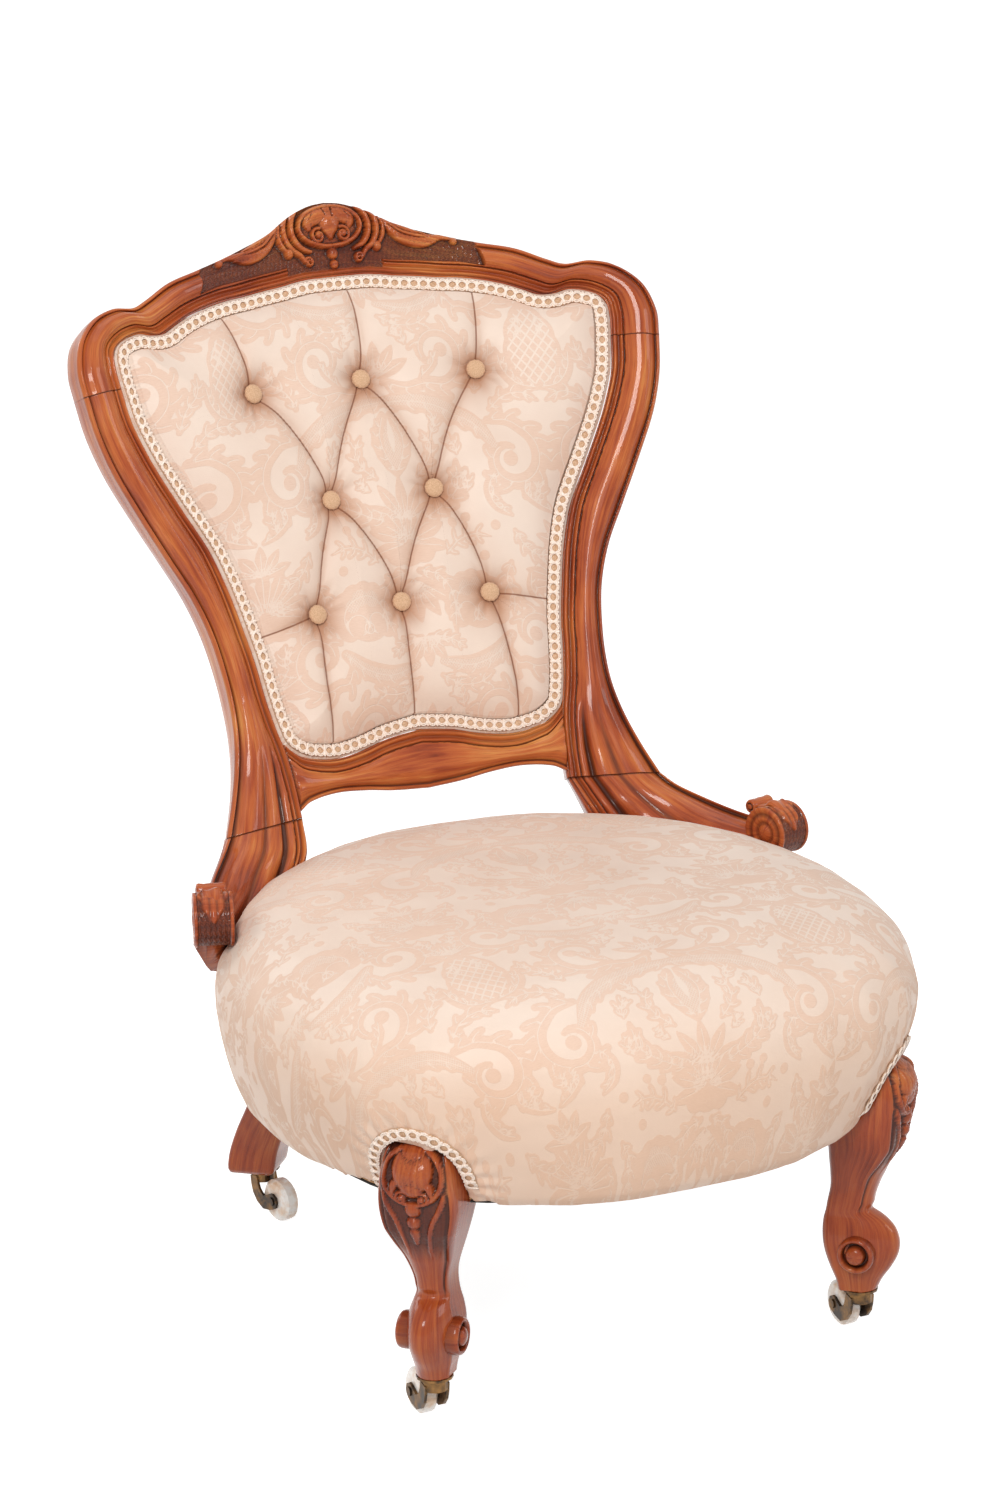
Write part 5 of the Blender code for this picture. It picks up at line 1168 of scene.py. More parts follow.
def damask_motifs():
    """Half the repeat, in mm: the figure's discs and veins, and the discs of its nets and fruits."""
    figure, veins, nets, fruits = [], [], [], []

    def leaf(*shape, draw=acanthus, **way):
        discs, lines = draw(*shape, **way)
        figure.extend(discs)
        veins.extend(lines)

    def fan(*shape):
        leaf(*shape, draw=petals)

    # the flower in the middle, with its crown
    fan(0, -20, 7, -12, 192, 6, 34, 6.2)
    fan(0, -2, 5, 26, 154, 6, 38, 5.6)
    figure += [(0, -26, 15), (13, -30, 10)]
    leaf([(0, 44), (7, 56), (12, 74), (4, 98)], 7.5, 11, 5, (-1,))
    nets += [(1, 52, 4.5), (2, 60, 6), (3, 68, 6.5), (3, 76, 5.5), (2, 84, 3.5)]
    # the great scroll beside the crown
    leaf([(6, 128), (24, 120), (44, 122)] + scroll(58, 150, 30, -78, 0.95), 6.2, 17, 10, (-1,))
    leaf([(40, 128), (54, 140), (60, 152)], 4, 9, 3, (1,))
    figure += [(64.5, 152, 6.5)]
    # the netted ribbon under it, with a leafy edge
    ribbon = [(0, 110), (30, 106), (60, 96), (84, 80), (98, 60)]
    leaf(ribbon, 8.5, 15, 6, (-1,))
    nets += net_along(ribbon, 26, 6.6, 1)
    # the broad scroll that turns back from the ribbon
    leaf([(96, 84), (116, 82)] + scroll(112, 48, 31, 66, -0.98), 6.6, 18, 10, (1,))
    figure += [(111.5, 47.5, 6.8)]
    leaf([(100, 94), (116, 106), (132, 108), (146, 100)], 4.5, 11, 4)
    leaf([(94, 36), (86, 22), (90, 6), (104, -4)], 4.5, 12, 5, (1,))
    # the tall fruit on the repeat's edge, its collar and leaves
    figure += [(150, 132, 22), (150, 146, 26), (150, 162, 23), (150, 176, 16), (150, 187, 9)]
    fruits += [(150, 134, 19), (150, 147, 22.5), (150, 162, 19.5), (150, 175, 12.5)]
    fan(150, 196, 5, 30, 150, 4, 28, 5)
    leaf([(148, 112), (132, 116), (121, 130), (118, 148)], 5, 12, 5, (-1,))
    # sprigs with paired berries beside the flower
    leaf([(34, -34), (50, -22), (66, -18), (80, -22)], 2.2, 11, 4, open_way=70, close_way=40)
    figure += [(46, -6, 4.6), (60, -2, 4.2), (72, -38, 4.4), (86, -12, 4.6)]
    # blooms low on each side: scalloped rings round a small heart, netted above
    for k in range(11):
        angle = math.radians(-34 + 25 * k)
        figure += [(56 + 24 * math.cos(angle), -80 + 21 * math.sin(angle), 9.8)]
    figure += [(56, -80, 24)]
    nets += [(48, -66, 7.5), (60, -64, 7.5), (68, -70, 6)]
    for cx, cy, r, a, b in ((56, -84, 21.5, 214, -34), (46, -88, 9.5, 200, -70),
                            (66, -88, 9.5, 250, -20), (56, -100, 12.5, 205, 335),
                            (56, -92, 5, 150, -190), (56, -96, 19, 214, 326)):
        veins.append(arc(cx, cy, r, a, b))
    # the leafy skirt between the blooms
    fan(0, -52, 5, 218, 322, 4, 38, 6.6)
    leaf([(6, -46), (22, -52), (32, -66), (30, -104)], 5, 11, 6)
    # the lower scrolls and the tails that run to the middle
    leaf([(78, -122), (90, -138)] + scroll(108, -112, 31, 236, 0.98), 6.4, 17, 10, (-1,))
    figure += [(108, -112, 6.6)]
    tail = [(84, -112), (66, -128), (42, -136), (12, -130)]
    leaf(tail, 8, 12, 5, (1,))
    nets += net_along(tail, 20, 5.2)
    leaf([(10, -142), (28, -152), (46, -152), (60, -144)], 4, 10, 4)
    # palmette with its string of beads on the repeat's edge
    fan(150, -64, 9, -10, 190, 8, 36, 5.6)
    figure += [(150, -70, 17), (138, -78, 10)]
    leaf([(136, -82), (122, -82), (112, -70), (114, -54)], 4.5, 10, 4, (-1,))
    # sprays that fill the ground beside the flower, under the skirt, over the crown and at the edges
    leaf([(20, 0), (40, 10), (58, 26), (60, 50)], 5.8, 14, 6)
    leaf([(22, 40), (34, 52), (38, 66), (30, 80)], 4, 10, 4)
    fan(150, -30, 5, 18, 162, 4, 24, 4.6)
    leaf([(146, 0), (132, 6), (120, 18), (124, 30)], 4, 10, 4, (-1,))
    leaf([(104, -18), (112, -32), (124, -40), (138, -38)], 4.2, 11, 4)
    fan(0, -104, 5, 205, 335, 4, 26, 5.2)
    leaf([(6, -106), (22, -110), (36, -120)], 3.6, 9, 4)
    fan(0, 132, 5, 25, 155, 4, 30, 5.6)
    leaf([(90, 112), (96, 128), (108, 140), (112, 158)], 4.4, 11, 5)
    leaf([(96, -46), (90, -60), (94, -76), (90, -94)], 4.2, 11, 5)
    # small leaves between them
    for x, y, turn, size in ((130, 8, 60, 20), (30, 160, 110, 18), (142, -150, 250, 20),
                             (62, 56, 100, 20), (40, 76, 60, 18), (20, -160, 60, 14),
                             (66, 22, 80, 18), (140, -112, 95, 18), (30, 30, 40, 14)):
        way = math.radians(turn)
        leaf([(x, y), (x + size * 0.5 * math.cos(way), y + size * 0.5 * math.sin(way)),
              (x + size * math.cos(way + 0.3), y + size * math.sin(way + 0.3))], 3, size * 0.50, 3)
    return figure, veins, nets, fruits


def distance_to(discs, x, y):
    """Signed distance to a union of discs, positive inside."""
    best = np.full(x.shape, -1.0)
    for cx, cy, r in discs:
        near = (np.abs(x[:, 0] - cx) < r + FAR).nonzero()[0]
        level = (np.abs(y[0] - cy) < r + FAR).nonzero()[0]
        if near.size and level.size:
            box = np.ix_(near, level)
            best[box] = np.maximum(best[box], r - np.hypot(x[box] - cx, y[box] - cy))
    return np.maximum(best, -FAR)


def vein_distance(lines, x, y):
    """Signed distance to the nearest of many bent lines, and its plain size."""
    near = np.full(x.shape, FAR)
    signed = np.full(x.shape, FAR)
    for line in lines:
        for (ax, ay), (bx, by) in zip(line[:-1], line[1:]):
            rows, cols = (((grid > min(a, b) - VEIN_FAR) & (grid < max(a, b) + VEIN_FAR)).nonzero()[0]
                          for grid, a, b in ((x[:, 0], ax, bx), (y[0], ay, by)))
            if not (rows.size and cols.size):
                continue
            box = np.ix_(rows, cols)
            dx, dy = bx - ax, by - ay
            px, py = x[box] - ax, y[box] - ay
            t = np.clip((px * dx + py * dy) / (dx * dx + dy * dy), 0, 1)
            d = np.hypot(px - t * dx, py - t * dy)
            closer = d < near[box]
            side = np.where(px * dy - py * dx >= 0, 1.0, -1.0)
            signed[box] = np.where(closer, d * side, signed[box])
            near[box] = np.where(closer, d, near[box])
    return signed, near


def damask_tile():
    """The repeat's figure, veins, nets and fruits as grids of distances."""
    x = np.arange(0, TILE_W / 2 + TILE_STEP, TILE_STEP)
    y = np.linspace(-TILE_H / 2, TILE_H / 2, round(TILE_H / TILE_STEP), endpoint=False)
    gx, gy = np.meshgrid(x, y, indexing="ij")
    figure, veins, nets, fruits = damask_motifs()

    def whole(discs):
        rows = np.array(discs, float) * MM
        return distance_to(np.concatenate([rows * (flip, 1, 1) + (slide, shift, 0)
                                           for flip, slide, shift in TILE_TURNS]), gx, gy)

    lines = [line * (flip * MM, MM) + (slide, shift) for line in veins for flip, slide, shift in TILE_TURNS]
    kept = [line for line in lines
            if (line[:, 0].max() > -VEIN_FAR and line[:, 0].min() < TILE_W / 2 + VEIN_FAR
                and line[:, 1].max() > -TILE_H / 2 and line[:, 1].min() < TILE_H / 2)]
    signed, near = vein_distance(kept, gx, gy)
    return {"figure": whole(figure), "vein": signed, "near": near,
            "net": whole(nets), "fruit": whole(fruits)}


TILES = damask_tile()


def read_tile(tile, u, v):
    """The tile's value at cloth coordinates, between its cells."""
    n, m = tile.shape
    u = np.abs((np.asarray(u) + TILE_W / 2) % TILE_W - TILE_W / 2) / TILE_STEP
    v = ((np.asarray(v) + TILE_H / 2) % TILE_H) / TILE_H * m
    i = np.clip(u.astype(int), 0, n - 2)
    j = v.astype(int) % m
    a, b = np.clip(u - i, 0, 1), v - np.floor(v)
    k = (j + 1) % m
    return (tile[i, j] * (1 - a) * (1 - b) + tile[i + 1, j] * a * (1 - b)
            + tile[i, k] * (1 - a) * b + tile[i + 1, k] * a * b)


def print_damask(made, u, v, shade=None, pleat=None):
    """Gives a piece its cloth coordinates and the damask's values at each point."""
    mesh = made.data
    values = {word: read_tile(tile, u, v) for word, tile in TILES.items()}
    values["shade"] = np.zeros(len(u)) if shade is None else shade
    values["pleat"] = np.full(len(u), 0.01) if pleat is None else pleat
    for name, value in values.items():
        mark = mesh.attributes.new(name, "FLOAT", "POINT")
        mark.data.foreach_set("value", np.asarray(value, np.float32))
    corner = np.zeros(len(mesh.loops), int)
    mesh.loops.foreach_get("vertex_index", corner)
    layer = mesh.uv_layers.new(name="cloth")
    layer.data.foreach_set("uv", np.stack([u[corner], v[corner]], -1).ravel())
    mesh.uv_layers.active = layer


# The back's upholstery
SLOPE = math.hypot(1, BACK_RAKE)
PAD_CELLS = 280
EDGE_COUNT = 480
CELL_BIAS = 0.4          # the grid's cells are this much finer at its edges
EAR_SHARES = (0.85, 0.22)    # the grid's upper corner, in the shoulders
DAMASK_AXIS_X = 0.013
DAMASK_FLOWER_Z = 0.618
# pleats: from button, to button, bow; from button, lean, the edge's height, bow; and those to the
# sides: from button, to (x, z), bow
BUTTON_PLEATS = ((0, 3, 0.06), (1, 3, -0.05), (1, 4, 0.05), (2, 4, -0.06), (3, 5, -0.05), (3, 6, 0.06),
                 (4, 6, -0.05), (4, 7, 0.06))
EDGE_PLEATS = ((0, -0.020, 0.90, 0.03), (1, -0.004, 0.90, -0.05), (2, 0.016, 0.90, -0.03),
               (5, 0.006, RAIL_LOW_Z, -0.05), (6, 0.004, RAIL_LOW_Z, -0.04), (7, 0.002, RAIL_LOW_Z, 0.05))
SIDE_PLEATS = ((5, (-0.2, 0.545), 0.04), (7, (0.2, 0.545), -0.04))
PLEAT_FALLS = ((0.0100, 0.0145, 1.1), (0.0022, 0.0018, 1.5))    # depth, reach and power
WELL_REACH = 0.0200
PUCKER_RING = (0.018, 0.009)    # how far from a button's middle its puckers lie, and how wide
PUCKERS = 9
PUCKER_RISE = 0.0008


def opening_loop(inset, count):
    """The frame opening's edge, moved in by a distance, as even points of (x, z)."""
    low = [(at * RAIL_END_HIGH, float(rail_heights(np.array(at))[1])) for at in np.linspace(0, 1, 9)]
    _, inner, z = stile_edges(np.linspace(0.20, 0.97, 16))
    top = crest_stations(21)[1:21]
    half = low + list(zip(inner, z)) + [tuple(row) for row in top[:, 2:]]
    other = [(-x, zz) for x, zz in half[-2:0:-1]]
    loop = smooth_line([(x, zz * SLOPE) for x, zz in half + other], count, closed=True)
    ahead = unit(np.roll(loop, -1, axis=0) - np.roll(loop, 1, axis=0))
    loop = loop - np.column_stack([ahead[:, 1], -ahead[:, 0]]) * inset
    return np.column_stack([loop[:, 0], loop[:, 1] / SLOPE])


def cell_shares(count):
    even = np.linspace(0, 1, count + 1)
    return even - CELL_BIAS * np.sin(2 * math.pi * even) / (2 * math.pi)


def pad_grid(inset, across, along):
    """A grid of (x, z) that fills the opening."""
    loop = opening_loop(inset, EDGE_COUNT)
    corner_low = int(np.argmin(np.hypot(loop[:, 0] - RAIL_END_HIGH, loop[:, 1] - RAIL_LOW_Z - RAIL_RISE)))
    ear = SHOULDER_HALF * EAR_SHARES[0], SHOULDER_JOINT_Z + CREST_RISE * EAR_SHARES[1]
    corner_top = int(np.argmin(np.hypot(loop[:, 0] - ear[0], loop[:, 1] - ear[1])))
    right = loop[corner_low:corner_top + 1]
    top_half, low_half = loop[corner_top:EDGE_COUNT // 2 + 1], loop[:corner_low + 1]
    mirror = np.array([-1, 1])
    top = np.vstack([top_half * mirror, top_half[-2::-1]])
    low = np.vstack([(low_half * mirror)[::-1], low_half[1:]])

    def even(line, count):
        run = run_along(line)
        return np.column_stack([np.interp(run[-1] * cell_shares(count), run, line[:, k]) for k in (0, 1)])

    right = even(right, along)
    left = right * mirror
    low, top = even(low, across), even(top, across)
    u, v = cell_shares(across)[None, :, None], cell_shares(along)[:, None, None]
    corners = (1 - u) * (1 - v) * low[0] + u * (1 - v) * low[-1] + (1 - u) * v * top[0] + u * v * top[-1]
    return (1 - v) * low[None] + v * top[None] + (1 - u) * left[:, None] + u * right[:, None] - corners


def bowed(a, b, bow):
    """A fold's line between two spots, bowed to one side."""
    a, b = np.array(a, float), np.array(b, float)
    t = np.linspace(0, 1, 9)[:, None]
    way = b - a
    side = np.array([-way[1], way[0]])
    return a + way * t + side * bow * np.sin(math.pi * t)


def pleat_lines():
    """The folds between neighbouring buttons and from the outer ones to the edge."""
    lines = [bowed(BUTTONS[a], BUTTONS[b], bow) for a, b, bow in BUTTON_PLEATS]
    lines += [bowed(BUTTONS[i], (BUTTONS[i][0] + lean, z), bow) for i, lean, z, bow in EDGE_PLEATS]
    return lines + [bowed(BUTTONS[i], end, bow) for i, end, bow in SIDE_PLEATS]


def line_distance(x, z, line):
    """Signed distance to a bent line of (x, z) on the slope of the back."""
    best = np.full(x.shape, 1.0)
    signed = np.full(x.shape, 1.0)
    for (ax, az), (bx, bz) in zip(line[:-1], line[1:]):
        dx, dz = bx - ax, (bz - az) * SLOPE
        px, pz = x - ax, (z - az) * SLOPE
        t = np.clip((px * dx + pz * dz) / (dx * dx + dz * dz), 0, 1)
        d = np.hypot(px - t * dx, pz - t * dz)
        sign = np.where(px * dz - pz * dx >= 0, 1.0, -1.0)
        signed = np.where(d < best, d * sign, signed)
        best = np.minimum(best, d)
    return signed


def tufted(x, z, edge):
    """Lift of the tufted face, its shade in the folds and the nearest fold's distance."""
    inside = np.full(x.shape, 1.0)
    for ex, ez in edge:
        inside = np.minimum(inside, np.hypot(x - ex, (z - ez) * SLOPE))
    puff = 1 - np.exp(-(inside + PAD_START) / PAD_SHOULDER)
    nearest = np.full(x.shape, 1.0)
    for line in pleat_lines():
        signed = line_distance(x, z, line)
        nearest = np.where(np.abs(signed) < np.abs(nearest), signed, nearest)
    reach = np.abs(nearest)
    valley = sum(deep * np.exp(-(reach / wide) ** power) for deep, wide, power in PLEAT_FALLS)
    well = np.zeros(x.shape)
    folds = np.zeros(x.shape)
    tan = np.zeros(x.shape)
    for number, (bx, bz) in enumerate(BUTTONS):
        r = np.hypot(x - bx, (z - bz) * SLOPE)
        angle = np.arctan2((z - bz) * SLOPE, x - bx)
        out = np.clip(r - BUTTON_R * 0.95, 0, None)
        well = np.maximum(well, PAD_DIP * np.exp(-(out / WELL_REACH) ** 1.1))
        ring = np.exp(-((r - PUCKER_RING[0]) / PUCKER_RING[1]) ** 2)
        wave = np.cos(PUCKERS * angle + 2.1 * number + 1.5 * np.sin(3 * angle + number))
        folds += PUCKER_RISE * ring * wave
        # painted shade round each button, wider and darker on its lower side, and in the puckers' troughs
        below = 0.5 - 0.5 * np.sin(angle + 0.5)
        tan = np.maximum(tan, np.exp(-(out / (0.008 + 0.007 * below)) ** 1.3) * (0.75 + 0.25 * below)
                         + 0.16 * ring * np.clip(-wave, 0, 1))
    dip = (valley ** 4 + well ** 4) ** 0.25
    fade = np.clip(inside / 0.02, 0, 1)
    # painted shade along the pleats joins it
    shade = np.clip(tan + 0.34 * np.exp(-(reach / 0.007) ** 1.2) * fade, 0, 1)
    return puff * (PAD_CROWN - dip) + folds, shade, nearest


def grid_body(name, front, back, material):
    """A closed sheet between two grids of points."""
    rows, cols = front.shape[:2]
    count = rows * cols
    index = np.arange(count).reshape(rows, cols)
    quads = np.stack([index[:-1, :-1], index[:-1, 1:], index[1:, 1:], index[1:, :-1]], -1).reshape(-1, 4)
    rim = np.concatenate([index[0, :-1], index[:-1, -1], index[-1, :0:-1], index[:0:-1, 0]])
    walls = np.stack([rim, np.roll(rim, -1), np.roll(rim, -1) + count, rim + count], -1)
    faces = quads.tolist() + (quads[:, ::-1] + count).tolist() + walls.tolist()
    mesh = bpy.data.meshes.new(name)
    mesh.from_pydata(np.concatenate([front.reshape(-1, 3), back.reshape(-1, 3)]).tolist(), [], faces)
    face_outward(mesh)
    return link(name, mesh, material)


def back_pad():
    """The buttoned pad: a tufted face, a rim sunk in the rebate and a flat rear."""
    x, z = np.moveaxis(pad_grid(PAD_SLIT + REBATE_W, PAD_CELLS, PAD_CELLS), -1, 0)
    lift, shade, nearest = tufted(x, z, opening_loop(PAD_SLIT + REBATE_W, EDGE_COUNT))
    lift[[0, -1]] = lift[:, [0, -1]] = -REBATE_DROP
    wide = np.pad(pad_grid(PAD_EDGE, PAD_CELLS, PAD_CELLS), ((1, 1), (1, 1), (0, 0)), mode="edge")
    front = on_back(wide[..., 0], wide[..., 1], -REBATE_DROP)
    front[1:-1, 1:-1] = on_back(x, z, lift)
    rear = on_back(wide[..., 0], wide[..., 1], -PAD_DEPTH)
    made = grid_body("tufted_back_pad", front, rear, DAMASK)
    u, v = np.pad(x, 1, mode="edge") - DAMASK_AXIS_X, (np.pad(z, 1, mode="edge") - DAMASK_FLOWER_Z) * SLOPE
    shade, nearest = np.pad(shade, 1), np.pad(nearest, 1, constant_values=0.01)
    print_damask(made, *(np.tile(values.ravel(), 2) for values in (u, v, shade, nearest)))
    return dress(made, "back_pad")


BUTTON_GATHERS = 13
BUTTON_TOP = 0.72        # the shares of the height over and under the rim
BUTTON_BELLY = 0.28


def button_cover():
    """One cloth-covered button at the origin, facing up, with gathers under its rim."""
    bpy.ops.mesh.primitive_uv_sphere_add(segments=40, ring_count=20, radius=BUTTON_R)
    made = bpy.context.active_object
    for vert in made.data.vertices:
        x, y, z = vert.co
        angle = math.atan2(y, x)
        reach = math.hypot(x, y) / BUTTON_R
        gather = 1 + 0.03 * math.cos(BUTTON_GATHERS * angle) * max(0, 1 - abs(z / BUTTON_R))
        high = max(z / BUTTON_R, 0) ** 0.9 * BUTTON_H * BUTTON_TOP
        low = min(z / BUTTON_R, 0) * BUTTON_H * BUTTON_BELLY
        lump = 0.0002 * math.cos(3 * angle) * reach
        vert.co = (x * gather, y * gather, BUTTON_H * BUTTON_BELLY + high + low + lump)
    made.data.materials.append(BUTTON_CLOTH)
    made.data.shade_smooth()
    return made


def back_buttons():
    first = button_cover()
    for number, (x, z) in enumerate(BUTTONS, 1):
        made = first.copy()
        made.data = first.data.copy()
        made.name = "covered_button_%d" % number
        bpy.context.scene.collection.objects.link(made)
        normal = Vector(back_normal(x))
        turn = Vector((0, 0, 1)).rotation_difference(normal).to_matrix().to_4x4()
        spot = Vector(on_back(x, z, PAD_CROWN - PAD_DIP))
        made.data.transform(Matrix.Translation(spot) @ turn)
        dress(made, "back_button_%d" % number)
    bpy.data.objects.remove(first, do_unlink=True)


# Gimp braid: double cords in loops to both sides of a flat bed. Reach across, sway along and lift
GIMP_CORDS = ((0.0050, 0.0028, 0.0015), (0.0035, 0.0020, 0.0017), (-0.0050, 0.0028, 0.0020),
              (-0.0035, 0.0020, 0.0022))
LOOP_STEPS = 14
LOOK_AHEAD = 0.0008
CORD_SIDES = 6
BED_SHARES = ((-0.50, 0.0), (-0.36, 0.14), (0.36, 0.14), (0.50, 0.0))
BED_EVERY = 3            # the bed takes every third place of the cords


def braid(name, points, normals, closed=False):
    """The gimp along a line on a surface with the given normals."""
    points, normals = (np.vstack([rows, rows[:1]]) if closed else rows for rows in (points, normals))
    key = run_along(points)
    loops = round(key[-1] / GIMP_PITCH)
    t = np.linspace(0, key[-1], loops * LOOP_STEPS + (not closed), endpoint=not closed)

    def read(rows, place):
        place = place % key[-1] if closed else np.clip(place, 0, key[-1])
        return np.stack([np.interp(place, key, rows[:, k]) for k in range(3)], -1)

    def at(place):
        place = place if closed else np.clip(place, 0, key[-1])
        up = unit(read(normals, place))
        ahead = unit(read(points, place + LOOK_AHEAD) - read(points, place - LOOK_AHEAD))
        return read(points, place), up, unit(np.cross(ahead, up))

    phase = t / key[-1] * loops * 2 * math.pi
    pieces = []
    for number, (reach, sway, lift) in enumerate(GIMP_CORDS):
        spot, up, side = at(t - sway * np.sin(phase))
        wave = lift + 0.0004 * np.sin(phase + 0.8)
        path = spot + side * (reach * np.cos(phase))[:, None] + up * wave[:, None]
        pieces.append(tube(name + "_cord_%d" % number, path, CORD_R, GIMP_CORD, CORD_SIDES, closed))
    spot, up, side = at(t[::BED_EVERY])
    rings = np.stack([spot + side * (a * GIMP_W) + up * (b * GIMP_T) for a, b in BED_SHARES], axis=1)
    # the bed's darker colour is painted shade between the loops
    pieces.append(skin(name + "_bed", rings, GIMP_SHADE_BED, closed=closed))
    return dress(join(name + "_braid", pieces), name)


def back_gimp():
    loop = opening_loop(PAD_SLIT + REBATE_W / 2, 400)
    points = on_back(loop[:, 0], loop[:, 1], 2 * GAP - REBATE_DROP)
    return braid("back_gimp", points, back_normal(loop[:, 0]), closed=True)


# The seat: the stuffed cover, its knee braids and the cloth below
SEAT_MID_Y = -0.040 + DATUM_Y
SEAT_CELL = 0.0042
SEAT_EDGE_Z = 0.350      # where the top rolls over into the side
SEAT_ROLL = 0.012
SEAT_RADII = (0.30, 0.31)
FLOWER_SHIFT = 0.005
STUFFING_WAVE = 0.0007
SOFT_ROUNDS = 6
GATHER_DEPTH = 0.0007
KNEE_GATHERS = 24
GATHER_SPOT = (0.030, 0.222)    # the middle of the gathers round a knee: outward, height
GATHER_RING = (0.056, 0.012)    # how far from it they lie, and how wide
SEAT_TOP_Z = 0.325
SEAT_FOOT_Z = 0.186
WALL_T = 0.014
BELT_CELLS = (180, 60)   # cells round the seat and up its side
BELT_FROM = 0.18
BELT_STEP = 0.0036


def apply_change(made, name, kind, **settings):
    change = made.modifiers.new(name, kind)
    for key, value in settings.items():
        setattr(change, key, value)
    bpy.ops.object.modifier_apply(modifier=change.name)


def seat_cover():
    """The stuffed seat from its CAD form: remeshed, smoothed, cut finer outside, gathered at the knees."""
    made = solid_copy("seat_pad", "stuffed_seat", DAMASK)
    apply_change(made, "cells", "REMESH", mode="VOXEL", voxel_size=SEAT_CELL)
    apply_change(made, "soft", "SMOOTH", factor=0.5, iterations=SOFT_ROUNDS)
    mesh = made.data
    outer = outside_of(read_points(mesh))
    select(made)
    bpy.ops.object.mode_set(mode="EDIT")
    bpy.ops.mesh.select_all(action="DESELECT")
    bpy.ops.object.mode_set(mode="OBJECT")
    mesh.polygons.foreach_set("select", [all(outer[i] for i in face.vertices) for face in mesh.polygons])
    bpy.ops.object.mode_set(mode="EDIT")
    bpy.ops.mesh.subdivide(number_cuts=1, smoothness=0.6)
    bpy.ops.object.mode_set(mode="OBJECT")
    mesh = made.data
    co = read_points(mesh)
    x, y, z = co.T
    wave = STUFFING_WAVE * np.sin(38 * x + 2 * np.sin(21 * y)) * np.sin(33 * y + 30 * z + 1.3)
    for side in (-1, 1):
        origin, out, across = leg_axes(side)
        away = co - (origin + out * GATHER_SPOT[0] + np.array([0, 0, GATHER_SPOT[1]]))
        ring = np.exp(-((np.linalg.norm(away, axis=1) - GATHER_RING[0]) / GATHER_RING[1]) ** 2)
        turn = np.arctan2(away[:, 2], away @ across)
        wave += GATHER_DEPTH * ring * np.cos(KNEE_GATHERS * turn + np.sin(5 * turn))
    wave *= outside_of(co)
    co = co + read_points(mesh, "normal") * wave[:, None]
    mesh.vertices.foreach_set("co", co.ravel())
    drop = np.log1p(np.exp((SEAT_EDGE_Z - z) / SEAT_ROLL)) * SEAT_ROLL
    way = unit(np.stack([x / SEAT_RADII[0]**2, (y - SEAT_MID_Y) / SEAT_RADII[1]**2], -1) + 1e-9)
    mesh.shade_smooth()
    print_damask(made, x + way[:, 0] * drop, (y - SEAT_MID_Y) + way[:, 1] * drop - FLOWER_SHIFT)
    return dress(made, "seat_pad")


def outside_of(points):
    """Which points of the seat are on its outer side: nothing of it lies further out."""
    angle = np.arctan2(points[:, 1] - SEAT_MID_Y, points[:, 0])
    reach = np.hypot(points[:, 0], points[:, 1] - SEAT_MID_Y)
    turns, levels = BELT_CELLS
    cell = (((angle + math.pi) / (2 * math.pi) * turns).astype(int) * levels
            + np.clip((points[:, 2] - BELT_FROM) / BELT_STEP, 0, levels - 1).astype(int))
    far = np.zeros((turns + 1) * levels)
    np.maximum.at(far, cell, reach)
    wall = reach > far[cell] - WALL_T
    return (wall | (points[:, 2] > SEAT_TOP_Z)) & (points[:, 2] > SEAT_FOOT_Z)


def knee_gimp(name, side, seat):
    tree = BVHTree.FromObject(seat, bpy.context.evaluated_depsgraph_get())
    origin, out, across = leg_axes(side)
    half = KNEE_W / 2 + GIMP_W / 2 + KNEE_GIMP_GAP
    low = KNEE_GIMP_FOOT_Z + GIMP_W * 0.6
    spring = KNEE_TOP_Z - KNEE_W / 2
    arch = KNEE_TOP_Z + GIMP_W / 2 + KNEE_GIMP_GAP - spring
    turns = math.pi * (1 - np.arange(9) / 8)
    spots = [(-half, low), (-half, (low + spring) / 2)]
    spots += list(zip(half * np.cos(turns), spring + arch * np.sin(turns)))
    spots += [(half, (low + spring) / 2), (half, low)]
    line = smooth_line(spots, 60)
    points, normals = [], []
    for v, z in line:
        start = Vector(origin + across * v + np.array([0, 0, z]) + out * (KNEE_REACH * 4))
        hit, normal, _, _ = tree.ray_cast(start, -Vector(out))
        if hit is None:
            continue
        points.append(tuple(hit + normal * (2 * GAP)))
        normals.append(tuple(normal))
    points, normals = np.array(points), np.array(normals)
    for _ in range(6):
        normals[1:-1] = unit((normals[:-2] + normals[1:-1] + normals[2:]) / 3)
        points[1:-1] = (points[:-2] + points[1:-1] + points[2:]) / 3
    return braid(name, points, normals)


def outside_back():
    """The plain cloth over the back's rear, stretched in the frame, with its flat width and length."""
    x, z = np.moveaxis(pad_grid(OUTSIDE_INSET, OUTSIDE_CELLS, OUTSIDE_CELLS), -1, 0)
    bow = np.sin(math.pi * np.linspace(0, 1, OUTSIDE_CELLS + 1))
    rise = OUTSIDE_DOME * np.sqrt(np.clip(bow[:, None] * bow[None, :], 0, 1))
    layers = [on_back(x, z, -OUTSIDE_DEPTH - depth - rise) for depth in (OUTSIDE_T * 0.4, OUTSIDE_T)]
    made = grid_body("outside_back_cloth", *layers, DAMASK)
    print_damask(made, np.tile(x.ravel(), 2), np.tile((z.ravel() - OUTSIDE_FLOWER_Z) * SLOPE, 2))
    dress(made, "outside_back")
    return made, float(np.ptp(x)) * OUTSIDE_EASE, float(np.ptp(z)) * SLOPE * OUTSIDE_EASE


def bottom_lining():
    """The black lining tacked under the seat."""
    return dress(solid_copy("bottom_cloth", "black_bottom_lining", LINING), "bottom_cloth")


FINISHES = {"beech_frame": BEECH, "linen": LINEN, "spring_steel": STEEL, "aged_brass": BRASS,
            "white_ceramic": CERAMIC, "black_lining": LINING, "polished_walnut": WALNUT,
            "ivory_damask": DAMASK, "gimp_braid": GIMP_CORD, "button_cloth": BUTTON_CLOTH}


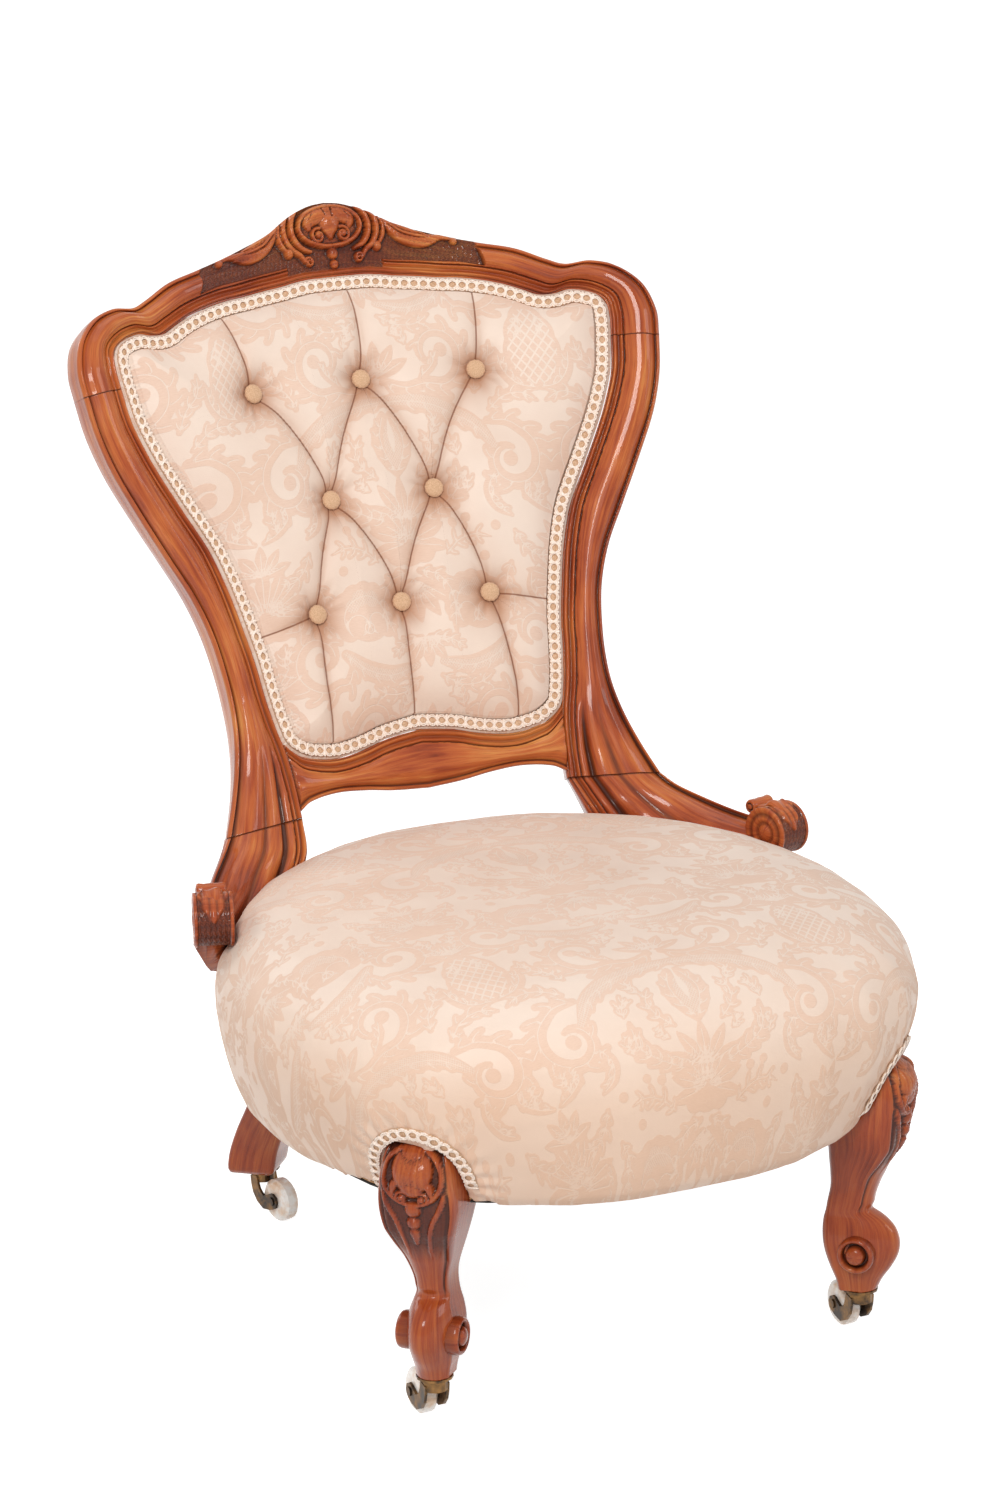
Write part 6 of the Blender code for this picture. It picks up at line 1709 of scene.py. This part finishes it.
def finish_nodes():
    """The CAD solids that stay shown take the same finishes."""
    for node in NODES.values():
        for k, material in enumerate(node.data.materials):
            if material is not None:
                for slot, finish in FINISHES.items():
                    if slot in material.name:
                        node.data.materials[k] = finish


# The stage, camera and lights
FLOOR_GLOW = 0.80
FLOOR_TONE = 0.74
FLOOR_SIZE = 30
WORLD_FILL = 0.44


def seen_directly(tree):
    """1 for rays from the camera, a mirror or a glass, 0 for those that light the chair."""
    path = add(tree, "ShaderNodeLightPath").outputs
    return maths(tree, "MAXIMUM", path["Is Camera Ray"], path["Is Glossy Ray"], path["Is Transmission Ray"])


def stage():
    deselect()
    bpy.ops.mesh.primitive_plane_add(size=FLOOR_SIZE, location=(0, 0, 0))
    floor = bpy.context.active_object
    floor.name = "studio_floor"
    # a white floor that glows for the camera only, so it is white and still takes the shadow
    made, tree, shader = new_material("white_studio_floor")
    feed(tree, shader, {"Base Color": (FLOOR_TONE,) * 3 + (1,), "Roughness": 0.9, "Specular IOR Level": 0.0})
    glow = add(tree, "ShaderNodeEmission", {"Color": (1, 1, 1, 1), "Strength":
                                            maths(tree, "MULTIPLY", seen_directly(tree), FLOOR_GLOW)})
    lit = add(tree, "ShaderNodeAddShader", {0: shader.outputs[0], 1: glow.outputs[0]})
    end = next(node for node in tree.nodes if node.type == "OUTPUT_MATERIAL")
    feed(tree, end, {"Surface": lit.outputs[0]})
    floor.data.materials.append(made)
    world = bpy.context.scene.world or bpy.data.worlds.new("studio")
    bpy.context.scene.world = world
    world.use_nodes = True
    tree = world.node_tree
    tree.nodes.clear()
    strength = span(tree, seen_directly(tree), 0, 1, WORLD_FILL, 1.0)
    back = add(tree, "ShaderNodeBackground", {"Color": (1, 1, 1, 1), "Strength": strength})
    add(tree, "ShaderNodeOutputWorld", {"Surface": back.outputs[0]})


def lamp(name, spot, aim, size, power, tint=(1, 1, 1)):
    light = bpy.data.lights.new(name, "AREA")
    light.shape = "RECTANGLE"
    light.size, light.size_y = size
    light.energy = power
    light.color = tint
    made = bpy.data.objects.new(name, light)
    bpy.context.scene.collection.objects.link(made)
    made.location = spot
    made.rotation_euler = (Vector(aim) - Vector(spot)).to_track_quat("-Z", "Y").to_euler()


CAMERA_AZIMUTH = math.radians(-24.4189)
CAMERA_RISE = math.radians(16.5)
CAMERA_ROLL = math.radians(-1.0777)
CAMERA_DISTANCE = 3.9631
CAMERA_TARGET = Vector((0, 0.059 + DATUM_Y, 0.4733))
CAMERA_LENS = 110.4


def camera():
    a, e, r = CAMERA_AZIMUTH, CAMERA_RISE, CAMERA_ROLL
    back = Vector((math.sin(a) * math.cos(e), -math.cos(a) * math.cos(e), math.sin(e)))
    right = Vector((math.cos(a), math.sin(a), 0))
    up = back.cross(right)
    right, up = right * math.cos(r) + up * math.sin(r), up * math.cos(r) - right * math.sin(r)
    data = bpy.data.cameras.new("studio_camera")
    data.sensor_fit = "AUTO"
    data.sensor_width = 36
    data.lens = CAMERA_LENS
    made = bpy.data.objects.new("studio_camera", data)
    bpy.context.scene.collection.objects.link(made)
    made.matrix_world = Matrix.Translation(CAMERA_TARGET + back * CAMERA_DISTANCE) @ \
        Matrix((right, up, back)).transposed().to_4x4()
    bpy.context.scene.camera = made


def build_chair():
    finish_nodes()
    crest_rail()
    for word, side in (("right", -1), ("left", 1)):
        stile(word + "_stile", side)
        elbow(word + "_elbow", side)
        front_leg(word + "_front_leg", side)
        back_leg(word + "_back_leg", side)
    lower_back_rail()
    back_pad()
    back_buttons()
    back_gimp()
    seat = seat_cover()
    for word, side in (("right", -1), ("left", 1)):
        knee_gimp(word + "_knee_gimp", side, seat)
    cloth, width, length = outside_back()
    lining = bottom_lining()
    width, length, _ = np.ptp(read_points(lining.data), axis=0)
    for corner in ("front_right", "front_left", "back_right", "back_left"):
        wheel = NODES[corner + "_castor_wheel"].data.materials
        wheel.clear()
        wheel.append(CERAMIC)


bpy.context.scene.view_settings.view_transform = "Standard"
build_chair()
stage()
lamp("key_softbox", (-1.9, -2.9, 2.9), (0, 0, 0.5), (1.1, 1.6), 110, (1, 0.975, 0.95))
lamp("fill_softbox", (2.9, -2.2, 1.9), (0, 0, 0.45), (0.8, 1.8), 20)
lamp("top_softbox", (0.2, 0.4, 3.2), (0, 0, 0.5), (2.0, 2.0), 12)
lamp("rim_softbox", (-1.4, 2.6, 1.8), (0, 0, 0.6), (1.4, 1.4), 20)
camera()
